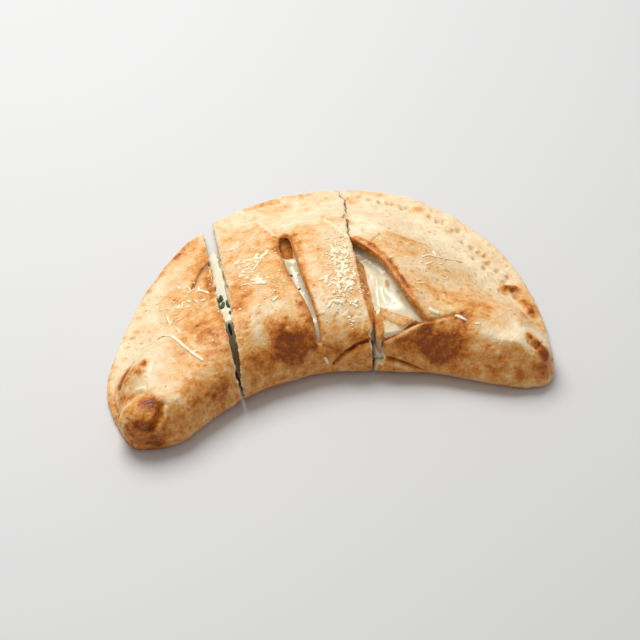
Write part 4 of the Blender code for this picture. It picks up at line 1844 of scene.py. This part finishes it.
def left_section() -> CrustSection:
    """The left section: a browned knob at its tip, a narrow slit at its right.

    Returns:
        The section, not yet built.
    """
    return CrustSection(
        "left_dough", "crust_left", (-119.0, -49.0),
        right=KnifeFace(LEFT_CUT_OUTER, 0.16, painted_shade_front=True),
        slits=("end_slit",),
        wall_tint=0.55,
        areas=(
            Plateau(
                ((-57, 46), (-70, 28), (-79, 6), (-78, -10), (-68, -28), (-50, -34), (-50, 46)), 10, 0.6,
            ),
        ),
        baked=browned(
            (7.0, 0.4, (-55, 45), (-53, 10), (-54, -50)),
            (11.0, 0.24, (-66, 28), (-71, 5), (-70, -18), (-64, -40)),
            (6.0, 0.12, (-65, -28), (-63, -48)),
            (4.0, 0.22, (-58, 57), (-72, 44)),
            (5.0, 0.1, (-84, -36), (-80, -44)),
            (7.0, 0.05, (-100, -46, 24), (-90, -56, 27)),
            (9.0, 0.16, (-75, -58), (-60, -55)),
            (7.0, 0.24, (-78, -74, 20), (-62, -68, 20)),
            (4.6, 0.6, (-101, -79, 24.8), (-95.5, -80, 25)),
            (5.0, 0.16, (-103.5, -84.5, 22.6), (-98, -85.5, 22.6)),
            (4.0, 0.3, (-105, -69, 20), (-101, -72, 24), (-96, -77, 25.5)),
            (7.0, 0.32, (-107, -80, 20), (-104, -88.5, 13), (-95, -89, 15)),
            (10.0, 0.14, (-78, -45, 28), (-66, -60, 28)),
            (8.0, 0.14, (-88, -70, 25), (-74, -73, 23)),
            (8.0, 0.08, (-72, 8), (-66, -8)),
            (4.0, 0.14, (-54, 12), (-54, -4)),
            (5.0, 0.12, (-75, -28), (-74, -38)),
            (7.0, 0.1, (-84, -66, 26), (-74, -70, 24)),
            (6.5, 0.34, (-108, -60, 17), (-106, -52, 19)),
            (6.0, 0.22, (-112, -70, 10), (-113, -56, 10)),
            (3.5, 0.26, (-114, -30, 4), (-116, -45, 4), (-114, -62, 5), (-110, -78, 5)),
            (5.0, 0.3, (-112, -80, 4), (-104, -91, 4), (-94, -92, 4)),
            (2.2, 0.2, (-58, 60, 5), (-76, 42, 4), (-92, 18, 4)),
        ),
        marks=(
            Mark(((-108, -87, 8), (-101, -89, 9), (-95, -90, 9)), 0.7, -0.7, 0.14),
            Mark(((-107, -86, 14), (-100, -89, 15)), 0.7, -0.6, 0.12),
            Mark(((-108, -82, 20), (-103, -86, 18), (-99, -88, 16)), 0.8, -0.6, 0.10),
            Mark(
                ((-91.2, -80.5, 25), (-92.4, -85, 21.8), (-94.9, -87.5, 20.1), (-97.6, -88.9, 17.8)),
                1.7, -2.6, 0.22,
            ),
            Mark(((-89.6, -82, 24.5), (-90.6, -86.2, 20.8), (-94, -88.9, 17.6)), 1.3, 0.7, -0.22),
            Mark(((-93.4, -79.5, 25.8), (-94.6, -84, 23.4), (-98, -87.4, 20.6)), 1.6, 0.8, 0.16),
            Mark(((-106.5, -66, 18), (-101, -68.5, 24), (-94, -76, 26)), 1.0, -0.8, 0.12),
            Mark(((-110.5, -60, 15), (-110, -70, 14)), 3.0, 0.5, 0.10),
            Mark(((-105.2, -46.8, 17), (-107.6, -50, 15.4), (-109.8, -53.2, 13.4)), 2.3, -0.8, 0.75, 0.15),
            Mark(((-102, -49, 22), (-104, -54, 20), (-107, -57.5, 16.4)), 2.4, 0.5, 0.12),
            Mark(((-96.9, -51.6, 26), (-98.9, -55.4, 25.2)), 2.8, 0.7, 0.55),
            Mark(((-96.6, -49.6, 25.6), (-96.5, -52.5, 26.2)), 1.2, -1.2, 0.40),
            Mark(((-93.6, -54, 27), (-94, -58.5, 26.8)), 1.2, 0.7, -0.25),
            # a raised fold on the knob's flank, painted paler as a highlight
            Mark(((-102, -65, 22), (-98.5, -67.5, 24.6)), 1.0, 0.5, -0.16),
            Mark(((-66, 48), (-69.5, 46)), 1.6, 0.7, 0.20),
            Mark(((-67.9, 48.7),), 0.9, -0.9, 0.40),
            Mark(((-55.2, 31.6), (-61.2, 21.4), (-65.6, 11.2)), 1.2, -0.4, 0.34),
            Mark(((-53.6, 33.4), (-59.4, 24.6), (-64.6, 15.2)), 2.0, 0.5, 0.12),
            Mark(((-80, 35), (-84, 30)), 1.5, -0.7, 0.12),
            Mark(((-99, -22), (-97, -30), (-99, -38)), 1.6, -0.6, 0.0),
            *spots(((-95, 3), (-92, 13), (-106, -27), (-98, -8), (-88, 22), (-100, -12)), 1.5, -0.9, 0.16),
            *spots(((-95.5, -19), (-75, 8), (-67, -30), (-101.6, -42), (-103, -18)), 0.9, -0.3, 0.45),
            Mark(((-64, -72, 19),), 1.1, -0.4, 0.55),
        ),
    )


def middle_section() -> CrustSection:
    """The middle section: two strips beside a long slit, with a dark blister over the fold.

    Returns:
        The section, not yet built.
    """
    cut = KnifeFace(RIGHT_CUT_INNER)
    return CrustSection(
        "middle_dough", "crust_middle", (-49.5, 32.0),
        left=KnifeFace(LEFT_CUT_INNER, 0.10, painted_shade_front=True),
        right=cut,
        flank=Flank(cut),
        slits=("middle_slit",),
        slabs=(
            # the hollow under the slit's rear arch: a browned slab whose dark tint is partly baking and
            # partly painted shade for the hollow
            Slab(
                ((-18.5, 30), (-8.5, 31), (-9.0, 20), (-10.2, 11), (-13.0, 13), (-17.0, 20)),
                ((-17, 29, 25.5), (-9, 29, 24.0), (-13, 13, 18.0)), 3.0, tint=0.68, fillet=0.8, pale=0.0,
            ),
        ),
        areas=(Plateau(STRIP_ONE, 3.5, 0.8), Plateau(STRIP_TWO, 3.0, 0.8)),
        baked=browned(
            (12.0, 0.17, (-40, 52), (-38, 10), (-42, -22)),
            (8.0, 0.2, (-24, 45), (-23, 10), (-24, -14)),
            (3.0, 0.3, (-18.2, 24), (-18, 2), (-14.5, -16), (-11, -30)),
            (2.6, 0.3, (-9, 24), (-8, 0), (-7.5, -14)),
            (6.0, 0.18, (-45, -10), (-46, -52)),
            (6.4, 0.5, (-28, -39.5, 32.5), (-20, -42.5, 30.8), (-11, -45, 28)),
            (5.8, 0.4, (-27, -47, 28), (-14, -49.5, 25)),
            (3.4, 0.42, (-22, -47.5, 26.5), (-16, -48.5, 26)),
            (3.6, 0.3, (-12, -33, 32.6), (-9, -39, 30)),
            (4.0, -0.22, (-28, -34.5)),
            (3.6, 0.16, (-14, -34)),
            (4.2, 0.34, (-27, -51, 22), (-19, -51.5, 22)),
            (6.0, -0.1, (-36, -14)),
            (5.0, 0.2, (-22, -22), (-14, -28)),
            (5.0, 0.12, (14, 0), (15, -34)),
            (4.0, 0.14, (12, -42, 28), (18, -44, 27)),
            (4.0, 0.12, (-45, 18), (-44, 4)),
            (5.0, 0.15, (-45, -26), (-45, -48)),
            (3.4, 0.14, (-7.6, -2), (-6, -20)),
            (2.5, 0.12, (-16, 0), (-12.6, -16)),
            (8.0, 0.14, (-40, -8, 31), (-36, -24, 33)),
            (6.0, 0.2, (-24, -53, 18), (-8, -54, 17)),
            (6.0, 0.24, (-40, -56, 25), (-34, -56, 22)),
            (9.0, 0.18, (-1, 24), (4, 2), (7, -20)),
            (4.0, 0.14, (16, -2), (17, -24)),
            (4.0, 0.16, (-4, 34), (-5, 8)),
            (4.0, 0.18, (13, 38), (20, 36)),
            (4.0, 0.06, (-3, -44), (10, -45)),
            (3.6, 0.26, (13, -48, 24), (17, -47, 25)),
            (5.0, 0.14, (12, -53, 17), (18, -52, 20)),
            (4.0, 0.08, (-15, 74), (-3, 77)),
            (2.4, 0.18, (-26, 80), (-6, 86), (10, 87)),
        ),
        marks=(
            Mark(((-47, -31), (-36, -30), (-31, -34)), 4.0, 0.4, -0.14),
            Mark(((-22, -43.5, 29.6), (-20, -45.5, 28)), 1.5, 0.8, -0.30),
            *spots(
                ((-25, -41), (-18, -40), (-14, -43), (-27, -45), (-23, -37), (-11, -38)),
                1.6, 0.6, 0.08,
            ),
            Mark(((-32, -53.5, 23),), 0.9, -0.4, 0.6),
            Mark(
                ((19.4, -50.8, 22.6), (12.4, -50.8, 21.2), (7.7, -52.1, 18), (3.9, -52.8, 15.6),
                 (0.1, -53.2, 11.4)),
                0.8, -1.8, 0.34, 0.1,
            ),
            Mark(((19, -52.7, 19.5), (12, -52.9, 17), (8, -53.4, 13.5)), 1.8, 1.1, -0.06),
            Mark(
                ((-6.6, -44.5, 27), (-7, -47.4, 24.6), (-4.5, -49.4, 22), (0.5, -50.6, 19.8),
                 (6.3, -51.7, 18.4), (12.4, -51, 20)),
                0.9, -0.9, 0.14,
            ),
            Mark(((11, 44.4, 24.8), (16.5, 42.4, 26), (22, 41, 26.5)), 0.9, -1.4, 0.30),
            Mark(((-22.6, 62), (-20.2, 46.5), (-18.2, 30)), 1.0, 0.6, -0.22, 0.3),
            Mark(((-24.6, 60.5), (-22, 46), (-20, 31)), 1.2, -0.4, 0.12, 0.3),
            Mark(((10.4, 37.1), (15, 25.6), (19.6, 15.8)), 1.0, 0.6, -0.22, 0.3),
            Mark(((8.4, 35.5), (13, 24.6), (18, 14.5)), 1.2, -0.4, 0.10, 0.3),
            Mark(((-38.5, 60.5), (-28.2, 62), (-23, 63)), 1.2, 0.3, -0.08, 0.4),
            Mark(((-8, 41), (2.4, 41.8), (10, 37.4)), 1.2, 0.3, -0.08, 0.4),
            Mark(((-11.0, 24), (-10.4, 8), (-9.4, -8), (-7.9, -24)), 1.2, 0.3, 0.26),
            Mark(((-26, 80), (-8, 82), (6, 83)), 1.0, -0.5, 0.06),
            *spots(
                ((-22, 83), (-28, 80), (-44, 66), (-37, 66), (19, 81), (-5, 77), (6, 66)),
                0.9, -0.4, 0.25,
            ),
            *spots(
                ((-36, 47), (-4, 20), (1.4, 0.6), (0, 10.7), (-15, -27.5), (-4.2, -19), (3, 25)),
                0.8, -0.35, 0.35,
            ),
            *spots(
                ((14, -33), (5, -38), (-1, -30), (12, -40), (3, 8), (2, -10), (14, 20), (5, 20)),
                0.8, -0.5, 0.10,
            ),
        ),
    )


def right_section() -> CrustSection:
    """The right section: the open slit with its torn corner, fork marks along the rim, a dark blister.

    Returns:
        The section, not yet built.
    """
    return CrustSection(
        "right_dough", "crust_right", (18.0, 119.0),
        left=KnifeFace(RIGHT_CUT_OUTER),
        slits=("open_slit", "broken_corner"),
        wall_tint=0.70,
        slabs=(
            Slab(
                ((27.2, -36.6), (33.0, -41.0), (42.6, -46.4), (38.6, -48.8), (35.4, -50.0), (33.2, -46.6),
                 (30.6, -44.8), (29.2, -42.4), (27.2, -41.4)),
                ((27, -37, 32.4), (42.4, -47, 30.4), (27, -51, 27.4)), 3.4, tint=0.42,
            ),
            Slab(
                ((26.6, -40.6), (30.0, -42.2), (34.6, -46.4), (36.6, -50.0), (33.0, -50.8), (27.6, -51.2),
                 (26.4, -47.5), (27.6, -44.0)),
                ((27, -37, 31.2), (42.4, -47, 29.2), (27, -51, 26.6)), 3.0, tint=0.07,
            ),
            Slab(
                ((23.0, -39.5), (26.4, -39.0), (27.0, -48.0), (25.0, -52.5), (23.0, -50.0)),
                ((24, -39, 29.5), (27, -39, 31.2), (24, -51, 24.5)), 12.0, tint=0.58, fillet=0.6, pale=0.4,
            ),
        ),
        areas=(Plateau(RIGHT_PLATEAU, 8.0, 1.0),),
        baked=browned(
            (4.6, 0.18, (40, 17), (58, 13)),
            (11.0, 0.2, (44, 6), (62, 0), (76, -14)),
            (10.0, 0.28, (48, -25), (60, -32), (78, -33)),
            (6.0, 0.28, (68, -47), (80, -43)),
            (5.0, 0.16, (74, -52), (88, -54)),
            (2.4, 0.34, (30.1, 6), (36, -4), (38.6, -15.7), (41.2, -27.1), (44.4, -39)),
            (7.0, 0.38, (48, -50, 28), (58, -53, 26.4), (67, -53, 28)),
            (6.2, 0.42, (52, -57, 22), (63, -59, 22.5)),
            (4.8, 0.34, (52.5, -61, 16), (60, -62.5, 17)),
            (6.0, 0.34, (34, -53.5, 22.6), (46, -55, 22)),
            (4.4, 0.44, (51, -58, 21), (58, -60, 20)),
            (5.0, 0.12, (46, -61, 12), (60, -66, 11)),
            (6.0, -0.08, (30, 34), (36, 22)),
            (2.2, 0.3, (22.5, 46), (23.4, 30)),
            (4.0, 0.05, (98, -52, 26), (103, -58, 23)),
            (5.0, 0.24, (108, -76, 12), (113, -68, 8)),
            (5.5, -0.1, (84, -60, 23), (98, -61, 22)),
            (6.0, 0.14, (70, -62, 16), (82, -68, 15)),
            (8.0, 0.14, (90, -25), (94, -42)),
            (4.0, 0.3, (104, -34), (103, -48)),
            (6.0, 0.16, (95, -78, 12), (107, -74, 12)),
            (4.0, 0.28, (112, -8, 5), (115, -28, 5), (113, -40, 6)),
            (4.0, 0.08, (94, 28), (102, 10)),
            (10.0, -0.07, (64, 30), (80, 20), (70, 45)),
            (3.0, 0.14, (34, 86), (50, 80)),
            (3.6, 0.24, (29, 79), (33, 74)),
        ),
        marks=(
            Mark(((42, 19), (56.4, 15.7), (66.4, 10.3)), 2.5, 0.5, 0.06),
            Mark(
                ((24, 11), (30, 4), (35.5, -7), (38.5, -16), (41, -26), (44, -36), (48, -45)),
                3.2, 0.6, 0.08,
            ),
            Mark(((27, -51.8, 24), (33, -50.8, 26.5), (38.7, -49.4, 28), (46, -47.9, 30)), 0.9, -2.0, 0.35),
            Mark(((27, -53.6, 22), (36, -52.8, 25.5), (45, -50, 28.5)), 1.2, 0.9, -0.30),
            Mark(((26, -56, 15), (31, -57.6, 14), (38, -60, 11), (45, -61.8, 8)), 0.9, -1.7, 0.36, 0.15),
            Mark(((25, -58, 12), (31, -59.4, 11.6), (37, -61, 9)), 1.3, 0.9, -0.16),
            Mark(((26, -60.2, 5), (33, -60.6, 6.6)), 0.7, -0.7, 0.30, 0.15),
            Mark(
                ((23, 13.5), (30.5, 6.2), (36, -4.8), (39.3, -16), (42.1, -27.6), (45.6, -38)),
                1.1, 0.2, 0.22,
            ),
            Mark(((47, -48.2), (54, -48), (58.4, -47.5), (64.4, -47.3)), 0.8, -0.9, 0.20),
            Mark(((29, 5), (32, 10), (37, 16)), 0.8, -0.7, 0.18),
            Mark(((68, 62),), 3.2, 1.0, 0.30),
            *spots(((80, 39.5),), 1.5, 0.4, 0.30),
            Mark(((101.5, -9.5, 8), (106, -9.5, 6.6)), 3.2, 1.8, 0.66),
            Mark(((108.4, -21, 6), (110.4, -27, 5.6)), 3.4, 1.9, 0.60),
            Mark(((106.6, -15.4, 6.4),), 2.0, -1.4, 0.0),
            Mark(((105, -12, 8),), 1.4, -1.0, 0.30),
            Mark(((98.5, -12, 10), (101.5, -15, 9)), 1.6, -1.8, 0.20),
            Mark(((107, -15.5, 6),), 1.6, -1.6, 0.10),
            Mark(((100.6, -62.6, 23.6), (104.4, -66, 20.6), (108, -69.6, 16.6)), 2.9, 0.8, 0.85),
            Mark(((103.5, -69.5, 19.6), (107, -71, 16.6)), 2.0, 0.3, 0.50),
            Mark(((97.5, -60, 24), (99.5, -66, 23), (103.5, -68.5, 20.5)), 0.9, -1.5, 0.0),
            *spots(((102, -63, 23.5), (105, -66, 20), (107.5, -64, 19.5)), 1.0, -1.2, 0.2),
            *spots(
                ((32, 78), (38, 79), (43, 75), (48.6, 71), (52, 70), (55, 69), (60, 64), (63, 65),
                 (74, 55.5), (77, 50), (80, 49), (84, 41.5), (87, 41), (87, 30), (91.5, 25), (94, 21.5),
                 (97, 18.5), (97, 11.5), (101, 5), (102.6, -4), (105.7, 0), (38.3, 54.3), (40.4, 50),
                 (47, 53.5), (52, 54), (90, 14), (94, 6)),
                1.5, -2.5, 0.02, 0.1,
            ),
            *spots(
                ((35, 78), (46, 73), (57.5, 67), (78.5, 52), (85.5, 44), (89, 28), (98.5, 14)),
                1.6, 0.5, 0.12,
            ),
            *spots(
                ((72, 34), (79.5, 23), (65, -42), (68.5, -47.6), (56, -14), (61, -19), (58, -36), (63, -29),
                 (44, -36), (96, -43.5), (82, -49), (69, 36)),
                0.8, -0.35, 0.38,
            ),
        ),
    )


def cheeses() -> tuple:
    """The filling of each section, with the stretched face that still bridges the left cut.

    Returns:
        The three fillings, not yet built.
    """
    return (
        CheeseBody("left_cheese", "filling_left", (-119, -49), None, KnifeFace(LEFT_CUT_OUTER, 0.16)),
        CheeseBody(
            "middle_cheese", "filling_middle", (-57, 32), KnifeFace(PULL_FACE, 0.16),
            KnifeFace(RIGHT_CUT_INNER),
            lumps=(
                Swell(((-13, 28), (-12.6, 20)), -13.0, 4.6),
                Swell(((-12.5, 6), (-9, -30)), -2.4, 4.0),
            ),
            # the small first mark browns a spot of cheese in the slit; the broad second one is painted
            # shade in the front of the left cut
            stains_and_shade=browned((1.0, 0.7, (-9.5, 1, 26)), (11.0, 1.0, (-50, -46, 14), (-49, -60, 8))),
            stringy=0.35,
            grain=(1.0, 0.0),
            front_drop=22.0,
            bulge=4.6,
        ),
        CheeseBody(
            "right_cheese", "filling_right", (18, 119), KnifeFace(RIGHT_CUT_OUTER), None,
            lumps=(
                Swell(((22, 4), (23, -36)), -2.5, 3.0),
                Swell(((29.7, -14), (28.0, -24), (27.2, -32)), 1.0, 1.6),
                Swell(((32.5, -20), (34.7, -32)), 1.4, 1.8),
                Swell(((36.4, -26), (39.6, -38)), 1.8, 2.2),
                Swell(((31.5, -34), (36.5, -37)), 1.2, 2.0),
                Swell(((27, 4), (33, -8)), -1.5, 3.0),
                Swell(((24, -46), (24, -58)), -13.0, 4.5),
            ),
            stains_and_shade=browned(
                (1.0, 1.3, (34.9, -15.0, 28), (34.9, -19.0, 28)),
                (1.2, 0.8, (39.1, -23.9, 28)),
            ),
            grain=(0.41, -0.91),
            stringy=0.14,
        ),
    )


def main() -> None:
    """Builds the calzone, its stage and its light."""
    logging.basicConfig(level=logging.INFO, format="%(name)s: %(message)s")
    stage = Stage()
    stage.build()
    form = DoughForm()
    plan_map = PlanMap(form, SLITS, STEP)
    noise = Noise(SEED)
    crust, cheese, grated = CrustFinish().material(), CheeseFinish().material(), GratedFinish().material()
    sections = [left_section(), middle_section(), right_section()]
    for section in sections:
        section.build(form, SLITS, plan_map, noise, crust)
    fillings = cheeses()
    for body in fillings:
        body.build(form, plan_map, noise, cheese)
    Spinach().build(fillings, LeafFinish().material())
    Crumbs().build(sections, grated)
    GratedCheese(SHREDS).build(sections, noise, grated)


if __name__ == "__main__":
    main()
